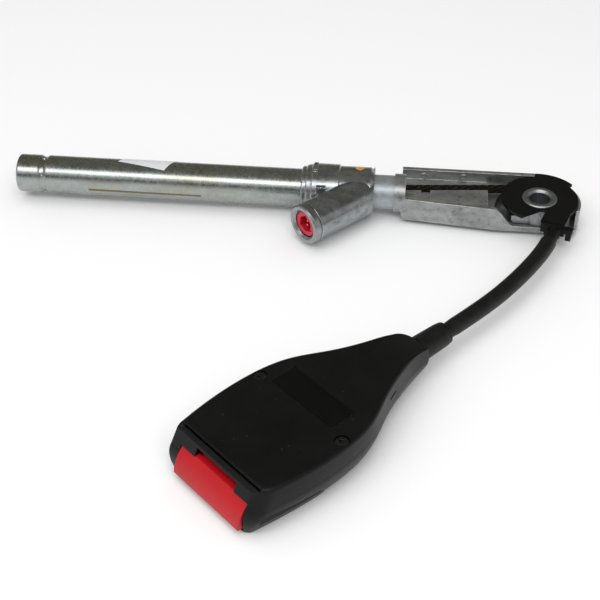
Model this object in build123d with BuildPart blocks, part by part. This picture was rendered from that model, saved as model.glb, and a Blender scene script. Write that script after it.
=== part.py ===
"""Seat belt buckle with a pyrotechnic pretensioner, one STEP file per piece.

Millimetres, +Z up.  The origin is the centre of the anchor bolt's bore at the seat face,
and +X runs along the pretensioner tube towards that bore.  The buckle's own heights are
measured from the surface that the tube and the buckle lie on.
"""
import os
from math import asin, atan2, cos, degrees, hypot, pi, radians, sin, tan

from build123d import *

os.makedirs("parts", exist_ok=True)

# ---------------------------------------------------------------- driving dimensions
table_height = -3.0         # surface that the manifold's band and the buckle touch
axis_height = 11.0          # tube, rope and buckle tail all lie in this plane
moving_gap = 0.3            # gap between pieces of different bodies
press_gap = 0.02            # radial gap of a pressed or swaged seat
slide_gap = 0.05            # radial gap of the piston in the tube
bearing_gap = 0.08          # running clearance of the disc on the bush
edge_break = 0.6            # small chamfers

# pretensioner tube
tube_y = 3.8                # the tube's centre line, behind the bolt
tube_radius = 10.5
tube_wall = 1.6
tube_end_x = -289.0         # closed end
tube_seat_x = -118.0        # end inside the manifold
crimp_x = -274.3
crimp_width = 4.6
crimp_depth = 0.9
crimp_marks = 6
crimp_mark_radius = 1.3
plug_inset = 1.0            # the plug's face inside the tube's end
plug_length = 24.0
piston_front_x = -134.0
piston_length = 20.0
piston_lead = 1.5
piston_crown = 4.0          # solid end in front of the rope's socket
seal_width = 3.0
seal_depth = 1.6
seal_gap = 0.1
piston_rope_end_x = -118.0

# manifold
manifold_x = -129.8
collar_length = 5.6
collar_radius = 12.1
collar_step = 2.6
shoulder_radius = 13.0
band_radius = 14.0
band_length = 15.5
body_radius = 13.2
manifold_face_x = -89.9
manifold_rim = 2.0
lug_size = 5.0
lug_offset = 5.6            # lug's centre behind the band's edge
lug_reach = 10.4            # lug's face in front of the tube's axis
lug_height = 9.4
boss_width = 2.2
boss_offset = 2.2
boss_rise = 0.9
boss_length = 7.0
neck_radius = 9.4
neck_bore = 6.8
neck_start_x = -97.0
neck_end_x = -74.6
bracket_collar_x = -78.8
bracket_collar_radius = 10.5
bracket_collar_end_x = -72.7

# gas generator barrel
barrel_angle = 45.0
barrel_root_x = -91.3
barrel_radius = 11.0
barrel_back = 15.0          # the barrel runs on this far past the tube's axis
barrel_length = 49.2        # from the tube's centre line to the open end
barrel_bore = 8.6
gas_port = 3.2
generator_length = 24.0
generator_nose = 5.0
generator_skirt = 1.2
oring_radius = 0.9
oring_offset = 8.0
retainer_length = 4.6
retainer_socket = 6.8       # retainer and insert reach this far into the bore
retainer_bore = 7.4
retainer_rim = 0.7
retainer_mouth = 1.2
insert_radius = 6.9
insert_pocket = 4.4
insert_recess = 1.6
insert_depth = 7.0
insert_key = 1.6
pin_radius = 0.5
pin_spacing = 2.54
pin_recess = 1.5

# wire rope and the deflector it bends round
rope_radius = 2.4
rope_gap = 0.3
rope_start_x = -115.0
wrap_radius = 14.6          # centre of the rope round the bolt
exit_angle = -110.0         # direction in which the rope leaves
spout_end = 31.0
spout_radius = 3.7
deflector_flange_radius = 16.8
deflector_edge = 0.8
deflector_front_y = -8.0

# anchor bush
bolt_bore = 5.75
bush_radius = 9.5
bush_top = 16.0
bush_mouth = 1.2

# bracket
floor_thickness = 2.5
wall_thickness = 2.5
back_wall_y = 23.3
back_wall_top = 15.4
back_wall_start_x = -74.7
back_wall_end_x = -1.6
front_wall_top = 13.4
front_wall_start = (-76.5, -5.2)
front_wall_end = (-23.0, -10.9)
front_wall_slope = 2.6      # how far the wall's end leans back at its foot
lip_top = 3.2
lip_end_x = 14.0
drop_start = -1.6           # curved drop to the lip, from the front wall's corner
drop_end = 10.5
shelf_top = 12.5
ledge_top = 9.5
groove_half_width = 3.2
pocket_radius = 26.0
pocket_step_radius = 23.6
pocket_step_top = 7.6
ring_outer_radius = 22.4
ring_wall = 1.5
ring_top = 13.4
ring_end_y = -8.0
shelf_slot_x = -61.5
shelf_slot_width = 5.0
rib_count = 3
rib_pitch = 15.0
rib_offset = 10.5
core_size = (12.0, 16.0)
core_y = 6.0
core_roof = 2.4

# cover disc, with distances along and beside the leaving rope
disc_radius = 20.6
disc_bottom = 13.8
disc_thickness = 1.6
tab_radius = 23.4
tab_end_angle = 38.0
guide_along = (8.5, 18.2)
guide_beside = (6.6, 19.4)
guide_bottom = 7.3
arm_along = (14.6, 18.2)
arm_beside = (15.0, 23.6)
arm_heights = (9.6, 12.0)
hook_along = (15.4, 18.2)
hook_beside = (20.4, 23.2)
hook_bottom = 5.5
hood_along = (18.2, 21.0)
hood_beside = (9.4, 17.8)
hood_drop = 0.5             # hood's top below the disc's
disc_cut = [(9.9, 4.0), (9.9, 6.6), (30.0, 6.6), (30.0, -10.7)]

# sleeve and boot
sleeve_radius = 4.3
sleeve_bore = 2.75
sleeve_first_run = 9.0
sleeve_bend = (-13.5, -66.0)
sleeve_last_run = 47.0      # last bend, behind the housing's tail
sleeve_insert = 2.5
boot_radius = 6.5
boot_taper = 0.4
boot_neck_radius = 5.2      # inside the housing's tail
boot_shoulder_gap = 0.3
boot_length = 19.5
boot_collar = 0.8
boot_collar_length = 2.0
boot_reach = 8.0            # into the housing's tail
boot_lip = 0.7

# buckle housing, in its own frame: along from the mouth to the tail, across to the left
buckle_origin = (-144.1, -211.1)
buckle_angle = 46.9
buckle_top = 25.0
parting_height = 15.0
belly_height = 4.0
step_length = 33.0
shell_wall = 2.2
housing_length = 118.0
mouth_half = 28.4
half_widths = [(45.0, 31.8), (62.0, 28.5), (80.0, 19.9), (98.0, 12.9)]
tail_half = 8.4
tail_corner = 7.6
tail_flat = 0.7             # half of what stays flat between the tail's corners
# (height, inset, front, corner radius) of the plan sections
lower_sections = [(0.0, 5.0, -6.0, 4.0), (6.0, 2.2, -7.2, 6.0), (12.0, 0.3, -6.4, 8.0), (15.0, 0.2, -4.9, 8.0)]
upper_sections = [(15.0, 0.2, -4.9, 8.0), (18.0, 0.3, -3.4, 8.0), (25.0, 0.9, -0.4, 8.0)]
bottom_round = 1.6
tail_slope = [(housing_length - 28.0, 25.0), (housing_length - 12.0, 23.5), (housing_length + 1, 20.2)]
mouth_slope = [(2.2, 25.0), (0.9, 24.2), (-1.6, 22.2)]
belly_slope = [(housing_length - 20.0, 4.0), (housing_length - 5.5, 6.0), (housing_length + 1, 13.0)]
strip_along = (-2.0, 29.5)  # recessed strip round the foot
strip_tops = (12.0, 8.0)
strip_inset = 2.4
mouth_half_width = 13.2
tongue_low = 17.0
tongue_high = 21.1
groove_along = (0.4, 1.2)
groove_half_length = 25.4
groove_bottom = 22.2
recess_along = (45.5, 60.0)
recess_across = (-18.8, 20.2)
recess_depth = 0.5
hollow_front = 9.0
hollow_reach = 2.5          # past the rope's ferrule
bay_end = 30.0
lower_hollow_front = 24.0
slit_along = (82.2, 88.2)
slit_across = (14.5, 20.0)
slit_heights = (17.6, 18.7)
catch_along = (74.0, 81.0)
catch_across = (14.0, 26.0)
catch_heights = (6.8, 9.8)
screw_place = (44.5, 27.0)
screw_radius = 1.5
screw_head_radius = 3.0
screw_head_height = 1.4
screw_sink = 2.2
screw_socket = 1.3
boss_radius = 3.6
boss_start = 8.5            # above the table
post_along = (60.0, 62.5)
rail_along = (34.0, 58.0)

# frame inside the housing
frame_plate = 1.6
frame_half_width = 19.0
frame_start = 9.5
frame_wide_end = 66.0
frame_shoulder = 8.0        # tapered part behind the wide one
frame_bottom = 8.6
web_half_width = 13.0
frame_top_gap = 0.1
guide_plate_drop = 0.4      # guide plate's top below the tongue slot
stop_half_width = 4.0
ferrule_gap = 4.0           # behind the frame's wide part
ferrule_length = 12.0
ferrule_radius = 4.4
ferrule_crown = 1.0

# press button
button_half_width = 22.0
button_travel = 6.0
button_top = 16.8
button_back = 3.0
button_bottom = 4.0
button_face = [(-9.2, 4.0), (-7.6, 10.6), (-3.8, 16.2)]
button_inner = [(-2.0, 14.6), (-6.4, 6.2), (-4.0, 6.2)]
button_end_wall = 2.2
notch_along = (-1.0, 3.1)
notch_across = (11.3, 14.1)
notch_bottom = 15.2
leg_inner = 19.6
leg_outer = 21.8
leg_heights = (6.5, 16.4)
leg_end = 44.0
spring_height = 10.4

# latch and ejector
latch_along = (26.0, 34.0)
latch_half_width = 9.0
latch_bottom = 10.2
latch_nose_top = 19.9
latch_travel = 3.6
latch_pin_along = 30.0
latch_pin_height = 13.0
latch_pin_radius = 1.4
ejector_along = (36.0, 48.0)
ejector_half_width = 11.5
coil_radius = 1.3
spring_wire = 0.35
spring_turns = 7

# ---------------------------------------------------------------- frames and helpers
along = Vector(cos(radians(buckle_angle)), sin(radians(buckle_angle)), 0)
across = Vector(-sin(radians(buckle_angle)), cos(radians(buckle_angle)), 0)
buckle_plane = Plane(origin=(*buckle_origin, table_height), x_dir=along, z_dir=(0, 0, 1))
buckle_side = Plane(origin=(*buckle_origin, table_height), x_dir=along, z_dir=-across)

tube_section = Plane(origin=(0, tube_y, axis_height), x_dir=(1, 0, 0), z_dir=(0, -1, 0))
tube_axis = Axis((0, tube_y, axis_height), (1, 0, 0))

barrel_direction = Vector(-cos(radians(barrel_angle)), -sin(radians(barrel_angle)), 0)
barrel_root = Vector(barrel_root_x, tube_y, axis_height)
barrel_section = Plane(origin=barrel_root, x_dir=barrel_direction, z_dir=barrel_direction.cross(Vector(0, 0, 1)))
barrel_axis = Axis(barrel_root, barrel_direction)

exit_direction = Vector(cos(radians(exit_angle)), sin(radians(exit_angle)), 0)
exit_side = Vector(-exit_direction.Y, exit_direction.X, 0)
exit_plane = Plane(origin=(0, 0, 0), x_dir=exit_direction, z_dir=(0, 0, 1))
exit_tangent_angle = exit_angle + 90.0

# the rope's straight run starts on the tube's centre line inside the
# manifold and is tangent to the wrap circle behind the bolt
rope_start = Vector(rope_start_x, tube_y, axis_height)
start_distance = hypot(rope_start.X, rope_start.Y)
run_angle = degrees(atan2(-rope_start.Y, -rope_start.X) + asin(wrap_radius / start_distance))
tangent_angle = run_angle + 90.0
run_direction = Vector(cos(radians(run_angle)), sin(radians(run_angle)), 0)
wrap_start = Vector(-run_direction.Y, run_direction.X, 0) * wrap_radius + Vector(0, 0, axis_height)


def run_y(x, side=0.0):
    """Y of the rope's straight run at x, moved sideways."""
    return (wrap_radius + side) / cos(radians(run_angle)) + x * run_direction.Y / run_direction.X


def across_tube(x):
    """Plane square to the tube at x."""
    return Plane(origin=(x, tube_y, axis_height), x_dir=(0, 1, 0), z_dir=(1, 0, 0))


def across_barrel(distance):
    """Plane square to the barrel, facing its open end."""
    return Plane(origin=barrel_root + barrel_direction * distance, x_dir=(0, 0, 1), z_dir=barrel_direction)


def at_exit(distance):
    """A point on the leaving rope."""
    point = exit_side * wrap_radius + exit_direction * distance
    return Vector(point.X, point.Y, axis_height)


def at_buckle(distance, side, z):
    """A point in the buckle's own plan, at a height above the origin."""
    point = Vector(*buckle_origin, 0) + along * distance + across * side
    return Vector(point.X, point.Y, z)


def block(plane, x_range, y_range, z_range, mode=Mode.ADD):
    """A box given by its ranges in a frame, joined to or cut from the part being built."""
    with BuildSketch(plane.offset(z_range[0])) as plan:
        with Locations(((x_range[0] + x_range[1]) / 2, (y_range[0] + y_range[1]) / 2)):
            Rectangle(x_range[1] - x_range[0], y_range[1] - y_range[0])
    extrude(plan.sketch, amount=z_range[1] - z_range[0], mode=mode)


def both_sides(across_range):
    """The same range of distances to the left and to the right."""
    return across_range, (-across_range[1], -across_range[0])


# ---------------------------------------------------------------- pretensioner tube
tube_bore = tube_radius - tube_wall
crimp_start = crimp_x - crimp_width / 2
crimp_end = crimp_x + crimp_width / 2

with BuildPart() as pretensioner_tube:
    with BuildSketch(tube_section):
        with BuildLine():
            Line((tube_end_x, tube_bore), (tube_end_x, tube_radius))
            Line((tube_end_x, tube_radius), (crimp_start, tube_radius))
            ThreePointArc((crimp_start, tube_radius), (crimp_x, tube_radius - crimp_depth), (crimp_end, tube_radius))
            Line((crimp_end, tube_radius), (tube_seat_x, tube_radius))
            Line((tube_seat_x, tube_radius), (tube_seat_x, tube_bore))
            Line((tube_seat_x, tube_bore), (crimp_end, tube_bore))
            ThreePointArc((crimp_end, tube_bore), (crimp_x, tube_bore - crimp_depth), (crimp_start, tube_bore))
            Line((crimp_start, tube_bore), (tube_end_x, tube_bore))
        make_face()
    revolve(axis=tube_axis)
    end_rim = pretensioner_tube.edges().filter_by(GeomType.CIRCLE).group_by(Axis.X)[0].sort_by(SortBy.RADIUS)[-1]
    fillet(end_rim, radius=tube_wall * 0.9)
    with Locations(across_tube(crimp_x)):
        with PolarLocations(tube_radius - crimp_depth / 2, crimp_marks, start_angle=30):
            Sphere(crimp_mark_radius, mode=Mode.SUBTRACT)
pretensioner_tube.part.label = "pretensioner_tube"
export_step(pretensioner_tube.part, "parts/pretensioner_tube.step")

plug_radius = tube_bore - press_gap
plug_x = tube_end_x + plug_inset
with BuildPart() as tube_end_plug:
    with BuildSketch(tube_section):
        with BuildLine():
            Polyline((crimp_start, plug_radius), (plug_x, plug_radius), (plug_x, 0), (plug_x + plug_length, 0),
                     (plug_x + plug_length, plug_radius), (crimp_end, plug_radius))
            ThreePointArc((crimp_end, plug_radius), (crimp_x, plug_radius - crimp_depth), (crimp_start, plug_radius))
        make_face()
    revolve(axis=tube_axis)
tube_end_plug.part.label = "tube_end_plug"
export_step(tube_end_plug.part, "parts/tube_end_plug.step")

# ---------------------------------------------------------------- piston and its rope
piston_back_x = piston_front_x - piston_length
piston_radius = tube_bore - slide_gap
socket_x = piston_back_x + piston_crown
socket_radius = rope_radius + press_gap
seal_x = piston_front_x - piston_length / 2
seal_start = seal_x - seal_width / 2
seal_end = seal_x + seal_width / 2

with BuildPart() as piston:
    with BuildSketch(tube_section):
        with BuildLine():
            Polyline(
                (piston_back_x, 0), (piston_back_x, piston_radius - piston_lead),
                (piston_back_x + piston_lead, piston_radius), (seal_start, piston_radius),
                (seal_start, piston_radius - seal_depth), (seal_end, piston_radius - seal_depth),
                (seal_end, piston_radius), (piston_front_x, piston_radius), (piston_front_x, socket_radius),
                (socket_x, socket_radius), (socket_x, 0), close=True)
        make_face()
    revolve(axis=tube_axis)
piston.part.label = "piston"
export_step(piston.part, "parts/piston.step")

with BuildPart() as piston_seal:
    with BuildSketch(tube_section):
        with Locations((seal_x, piston_radius - seal_depth / 2 + press_gap)):
            RectangleRounded(seal_width - 2 * seal_gap, seal_depth - seal_gap, seal_depth / 3)
    revolve(axis=tube_axis)
piston_seal.part.label = "piston_seal"
export_step(piston_seal.part, "parts/piston_seal.step")

with BuildPart() as piston_rope:
    with BuildSketch(across_tube(socket_x + press_gap)):
        Circle(rope_radius)
    extrude(amount=piston_rope_end_x - socket_x - press_gap)
piston_rope.part.label = "piston_rope"
export_step(piston_rope.part, "parts/piston_rope.step")

# ---------------------------------------------------------------- manifold with its barrel
band_start = manifold_x + collar_length
band_end = band_start + band_length
shoulder_x = manifold_x + collar_step
barrel_stop = barrel_length - retainer_length
generator_seat = barrel_stop - generator_length

with BuildPart() as manifold_housing:
    with BuildSketch(tube_section):
        with BuildLine():
            Polyline(
                (manifold_x, 0), (manifold_x, collar_radius - edge_break), (manifold_x + edge_break, collar_radius),
                (shoulder_x, collar_radius), (shoulder_x, shoulder_radius - edge_break),
                (shoulder_x + edge_break, shoulder_radius), (band_start, band_radius - edge_break),
                (band_start + edge_break, band_radius),
                (band_end - edge_break, band_radius), (band_end, body_radius),
                (manifold_face_x - manifold_rim, body_radius), (manifold_face_x, body_radius - manifold_rim),
                (manifold_face_x, 0), close=True)
        make_face()
    revolve(axis=tube_axis)
    # raised boss on the band and the square lug beside the barrel
    with BuildSketch(Plane(origin=(band_start + boss_offset, tube_y, axis_height))):
        Rectangle(boss_width, boss_length)
    extrude(amount=band_radius + boss_rise)
    with BuildSketch(Plane(origin=(band_start + lug_offset, tube_y - lug_reach, axis_height))):
        Rectangle(lug_size, lug_size)
    extrude(amount=lug_height)
    # barrel, trimmed flush with the manifold's end face
    with BuildSketch(across_barrel(-barrel_back)):
        Circle(barrel_radius)
    extrude(amount=barrel_stop + barrel_back)
    with BuildSketch(across_tube(manifold_face_x)):
        Rectangle(4 * band_radius, 4 * band_radius)
    extrude(amount=2 * band_radius, mode=Mode.SUBTRACT)
    # tube socket, rope passage, neck socket
    for start, stop, radius in (
            (manifold_x, tube_seat_x, tube_radius + press_gap),
            (tube_seat_x, neck_start_x, neck_bore),
            (neck_start_x, manifold_face_x, neck_radius + press_gap)):
        with BuildSketch(across_tube(start)):
            Circle(radius)
        extrude(amount=stop - start, mode=Mode.SUBTRACT)
    # generator bore and gas port
    with BuildSketch(across_barrel(generator_seat)):
        Circle(barrel_bore)
    extrude(amount=generator_length, mode=Mode.SUBTRACT)
    with BuildSketch(across_barrel(0)):
        Circle(gas_port)
    extrude(amount=generator_seat, mode=Mode.SUBTRACT)
manifold_housing.part.label = "manifold_housing"
export_step(manifold_housing.part, "parts/manifold_housing.step")

with BuildPart() as neck_tube:
    with BuildSketch(across_tube(neck_start_x)):
        Circle(neck_radius)
        Circle(neck_bore, mode=Mode.SUBTRACT)
    extrude(amount=neck_end_x - neck_start_x)
neck_tube.part.label = "neck_tube"
export_step(neck_tube.part, "parts/neck_tube.step")

# ---------------------------------------------------------------- gas generator and connector
generator_radius = barrel_bore - press_gap
generator_start = generator_seat + press_gap
generator_end = barrel_stop - retainer_socket - press_gap
oring_place = generator_seat + oring_offset
oring_start = oring_place - oring_radius
oring_end = oring_place + oring_radius
oring_floor = generator_radius - 2 * oring_radius
nose_end = generator_start + generator_radius - generator_skirt - generator_nose

with BuildPart() as gas_generator:
    with BuildSketch(barrel_section):
        with BuildLine():
            Polyline(
                (generator_start, 0), (generator_start, generator_nose),
                (nose_end, generator_radius - generator_skirt), (oring_start, generator_radius - generator_skirt),
                (oring_start, oring_floor), (oring_end, oring_floor), (oring_end, generator_radius),
                (generator_end, generator_radius), (generator_end, 0), close=True)
        make_face()
    revolve(axis=barrel_axis)
gas_generator.part.label = "gas_generator"
export_step(gas_generator.part, "parts/gas_generator.step")

with BuildPart() as generator_oring:
    with BuildSketch(barrel_section):
        with Locations((oring_place, generator_radius - oring_radius)):
            Circle(oring_radius - press_gap)
    revolve(axis=barrel_axis)
generator_oring.part.label = "generator_oring"
export_step(generator_oring.part, "parts/generator_oring.step")

socket_end = barrel_stop - retainer_socket
with BuildPart() as generator_retainer:
    with BuildSketch(barrel_section):
        with BuildLine():
            Polyline(
                (socket_end, retainer_bore), (socket_end, generator_radius), (barrel_stop, generator_radius),
                (barrel_stop, barrel_radius - retainer_rim),
                (barrel_stop + retainer_rim, barrel_radius - retainer_rim),
                (barrel_stop + retainer_rim, barrel_radius), (barrel_length - retainer_rim, barrel_radius),
                (barrel_length, barrel_radius - retainer_rim), (barrel_length, retainer_bore + retainer_mouth),
                (barrel_length - retainer_mouth, retainer_bore), close=True)
        make_face()
    revolve(axis=barrel_axis)
generator_retainer.part.label = "generator_retainer"
export_step(generator_retainer.part, "parts/generator_retainer.step")

insert_face = barrel_length - insert_recess
with BuildPart() as connector_insert:
    with BuildSketch(across_barrel(socket_end)):
        Circle(retainer_bore - press_gap)
    extrude(amount=insert_face - socket_end)
    with BuildSketch(across_barrel(insert_face - insert_depth)):
        Circle(insert_pocket)
        with PolarLocations(insert_pocket, 3):
            Rectangle(insert_key, insert_key)
    extrude(amount=insert_depth, mode=Mode.SUBTRACT)
    with BuildSketch(across_barrel(insert_face - insert_recess)):
        Circle(retainer_bore)
        Circle(insert_radius, mode=Mode.SUBTRACT)
    extrude(amount=insert_recess, mode=Mode.SUBTRACT)
connector_insert.part.label = "connector_insert"
export_step(connector_insert.part, "parts/connector_insert.step")

with BuildPart() as contact_pins:
    with BuildSketch(across_barrel(insert_face - insert_depth)):
        with GridLocations(pin_spacing, 0, 2, 1):
            Circle(pin_radius)
    extrude(amount=insert_depth - pin_recess)
contact_pins.part.label = "contact_pins"
export_step(contact_pins.part, "parts/contact_pins.step")

# ---------------------------------------------------------------- bracket casting
front_slope = (front_wall_end[1] - front_wall_start[1]) / (front_wall_end[0] - front_wall_start[0])
front_corner = (back_wall_start_x, front_wall_start[1] + front_slope * (back_wall_start_x - front_wall_start[0]))
groove_floor = axis_height - rope_radius - rope_gap
channel_start = back_wall_start_x - 1
ring_inner_radius = ring_outer_radius - ring_wall

shelf_end_x = back_wall_end_x - pocket_radius
shelf_end_y = front_wall_start[1] + front_slope * (shelf_end_x - front_wall_start[0])

with BuildPart() as channel_bracket:
    # floor of the channel, and the round end about the bolt
    with BuildSketch():
        with BuildLine():
            Polyline(
                (back_wall_start_x, back_wall_y), front_corner, front_wall_end, (0, front_wall_end[1]),
                (0, back_wall_y), close=True)
        make_face()
        Circle(ring_outer_radius)
        with Locations((0, front_wall_end[1] - ring_outer_radius)):
            Rectangle(4 * ring_outer_radius, 2 * ring_outer_radius, mode=Mode.SUBTRACT)
    extrude(amount=floor_thickness)
    # low step between the shelf and the bolt's pocket
    with BuildSketch():
        with BuildLine():
            Polyline(
                (shelf_end_x, back_wall_y), (shelf_end_x, shelf_end_y), front_wall_end, (0, front_wall_end[1]),
                (0, back_wall_y), close=True)
        make_face()
        Circle(pocket_step_radius, mode=Mode.SUBTRACT)
    extrude(amount=pocket_step_top)
    # rear ledge and front shelf, with the rope's groove between them
    with BuildSketch():
        with BuildLine():
            Polyline(
                (back_wall_start_x, back_wall_y), front_corner, (shelf_end_x, shelf_end_y),
                (shelf_end_x, back_wall_y), close=True)
        make_face()
    extrude(amount=shelf_top)
    with BuildSketch(Plane.XY.offset(ledge_top)):
        with BuildLine():
            Polyline(
                (channel_start, run_y(channel_start)), (0, run_y(0)), (0, back_wall_y + 1),
                (channel_start, back_wall_y + 1), close=True)
        make_face()
    extrude(amount=shelf_top, mode=Mode.SUBTRACT)
    with BuildSketch(Plane.XY.offset(groove_floor)):
        with BuildLine():
            Polyline(
                (channel_start, run_y(channel_start, -groove_half_width)), (0, run_y(0, -groove_half_width)),
                (0, run_y(0, groove_half_width)), (channel_start, run_y(channel_start, groove_half_width)),
                close=True)
        make_face()
    extrude(amount=shelf_top, mode=Mode.SUBTRACT)
    # cross slot through the shelf
    with BuildSketch(Plane.XY.offset(axis_height)):
        with Locations((shelf_slot_x, 0)):
            Rectangle(shelf_slot_width, 2 * pocket_radius)
    extrude(amount=shelf_top, mode=Mode.SUBTRACT)
    # back wall, and the thin ring that carries it round the rope
    with BuildSketch():
        with Locations(((back_wall_start_x + back_wall_end_x) / 2, back_wall_y - wall_thickness / 2)):
            Rectangle(back_wall_end_x - back_wall_start_x, wall_thickness)
    extrude(amount=back_wall_top)
    with BuildSketch():
        with BuildLine():
            Polyline((0, 0), (0, back_wall_y), (back_wall_end_x, back_wall_y), (back_wall_end_x, 0), close=True)
        make_face()
        Circle(ring_outer_radius)
        Circle(ring_inner_radius, mode=Mode.SUBTRACT)
        with Locations((back_wall_end_x - 2 * ring_outer_radius, 0)):
            Rectangle(4 * ring_outer_radius, 4 * ring_outer_radius, mode=Mode.SUBTRACT)
        with Locations((0, ring_end_y - 2 * ring_outer_radius)):
            Rectangle(4 * ring_outer_radius, 4 * ring_outer_radius, mode=Mode.SUBTRACT)
    extrude(amount=ring_top)
    # front wall with its curved drop to the low lip
    with BuildSketch():
        with BuildLine():
            Polyline(
                front_wall_start, front_wall_end, (lip_end_x, front_wall_end[1]),
                (lip_end_x, front_wall_end[1] + wall_thickness),
                (front_wall_end[0], front_wall_end[1] + wall_thickness),
                (front_wall_start[0], front_wall_start[1] + wall_thickness), close=True)
        make_face()
    extrude(amount=front_wall_top)
    curve_start = (front_wall_end[0] + drop_start, front_wall_top)
    curve_end = (front_wall_end[0] + drop_end, lip_top)
    with BuildSketch(Plane.XZ):
        with BuildLine():
            Spline(curve_start, curve_end, tangents=((1, 0), (1, 0)), tangent_scalars=(0.9, 0.9))
            Polyline(curve_end, (lip_end_x + 1, lip_top), (lip_end_x + 1, 2 * front_wall_top),
                     (curve_start[0], 2 * front_wall_top), curve_start)
        make_face()
    extrude(amount=wall_thickness - front_wall_end[1], mode=Mode.SUBTRACT)
    with BuildSketch(Plane.XZ):
        with BuildLine():
            Polyline(
                (front_wall_start[0] - 1, -1), (front_wall_start[0] + front_wall_slope, -1),
                (front_wall_start[0] + front_wall_slope, 0), (front_wall_start[0], front_wall_top),
                (front_wall_start[0] - 1, front_wall_top), close=True)
        make_face()
    extrude(amount=-2 * front_wall_end[1], mode=Mode.SUBTRACT)
    # collar that holds the neck tube
    with BuildSketch(across_tube(bracket_collar_x)):
        Circle(bracket_collar_radius)
    extrude(amount=bracket_collar_end_x - bracket_collar_x)
    with BuildSketch(across_tube(bracket_collar_x)):
        Circle(neck_radius + press_gap)
    extrude(amount=neck_end_x + press_gap - bracket_collar_x, mode=Mode.SUBTRACT)
    with BuildSketch(across_tube(bracket_collar_x)):
        Circle(neck_bore)
    extrude(amount=bracket_collar_end_x - bracket_collar_x, mode=Mode.SUBTRACT)
    # cored pockets in the underside, between ribs
    for rib in range(rib_count):
        with BuildSketch():
            with Locations((back_wall_start_x + rib_offset + rib * rib_pitch, core_y)):
                RectangleRounded(*core_size, core_roof)
        extrude(amount=groove_floor - core_roof, mode=Mode.SUBTRACT)
    # hole for the anchor bush, and the lip cleared round it
    with BuildSketch():
        Circle(bush_radius + press_gap)
    extrude(amount=floor_thickness, mode=Mode.SUBTRACT)
    with BuildSketch(Plane.XY.offset(floor_thickness)):
        Circle(bush_radius + moving_gap)
    extrude(amount=ring_top, mode=Mode.SUBTRACT)
channel_bracket.part.label = "channel_bracket"
export_step(channel_bracket.part, "parts/channel_bracket.step")

# ---------------------------------------------------------------- anchor bush and rope deflector
with BuildPart() as anchor_bush:
    with BuildSketch(Plane.XZ):
        with BuildLine():
            Polyline(
                (bolt_bore, 0), (bush_radius, 0), (bush_radius, bush_top - edge_break),
                (bush_radius - edge_break, bush_top), (bolt_bore + bush_mouth, bush_top),
                (bolt_bore, bush_top - bush_mouth), close=True)
        make_face()
    revolve(axis=Axis.Z)
anchor_bush.part.label = "anchor_bush"
export_step(anchor_bush.part, "parts/anchor_bush.step")

deflector_root = wrap_radius - rope_radius - rope_gap
deflector_top = disc_bottom - moving_gap
flange_top = axis_height - rope_radius - rope_gap
with BuildPart() as rope_deflector:
    with BuildSketch(Plane.XZ):
        with BuildLine():
            Polyline(
                (deflector_root, deflector_top), (bush_radius + press_gap, deflector_top),
                (bush_radius + press_gap, floor_thickness), (deflector_flange_radius, floor_thickness),
                (deflector_flange_radius, flange_top), (deflector_root + deflector_edge, flange_top),
                (deflector_root, flange_top + deflector_edge), close=True)
        make_face()
    revolve(axis=Axis.Z)
    # open in front, where the bracket's lip runs close by the bush
    with BuildSketch(Plane.XY.offset(floor_thickness)):
        with Locations((0, deflector_front_y - deflector_flange_radius)):
            Rectangle(4 * deflector_flange_radius, 2 * deflector_flange_radius)
    extrude(amount=ring_top, mode=Mode.SUBTRACT)
rope_deflector.part.label = "rope_deflector"
export_step(rope_deflector.part, "parts/rope_deflector.step")

# ---------------------------------------------------------------- wire rope
with BuildPart() as channel_rope:
    with BuildSketch(Plane(origin=rope_start, z_dir=run_direction)):
        Circle(rope_radius)
    extrude(amount=(wrap_start - rope_start).length)
channel_rope.part.label = "channel_rope"
export_step(channel_rope.part, "parts/channel_rope.step")

wrap_gap_angle = degrees(moving_gap / wrap_radius)
with BuildPart() as wrap_rope:
    with BuildLine():
        wrap_arc = CenterArc((0, 0, axis_height), wrap_radius, tangent_angle - wrap_gap_angle,
                             exit_tangent_angle - tangent_angle + wrap_gap_angle)
        Line(wrap_arc @ 1, at_exit(spout_end - moving_gap))
    with BuildSketch(Plane(origin=wrap_arc @ 0, z_dir=wrap_arc % 0)):
        Circle(rope_radius)
    sweep()
wrap_rope.part.label = "wrap_rope"
export_step(wrap_rope.part, "parts/wrap_rope.step")

# ---------------------------------------------------------------- cover disc with rope guide
disc_top = disc_bottom + disc_thickness
tab_start_angle = degrees(atan2(back_wall_y - wall_thickness, back_wall_end_x + moving_gap))

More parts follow.
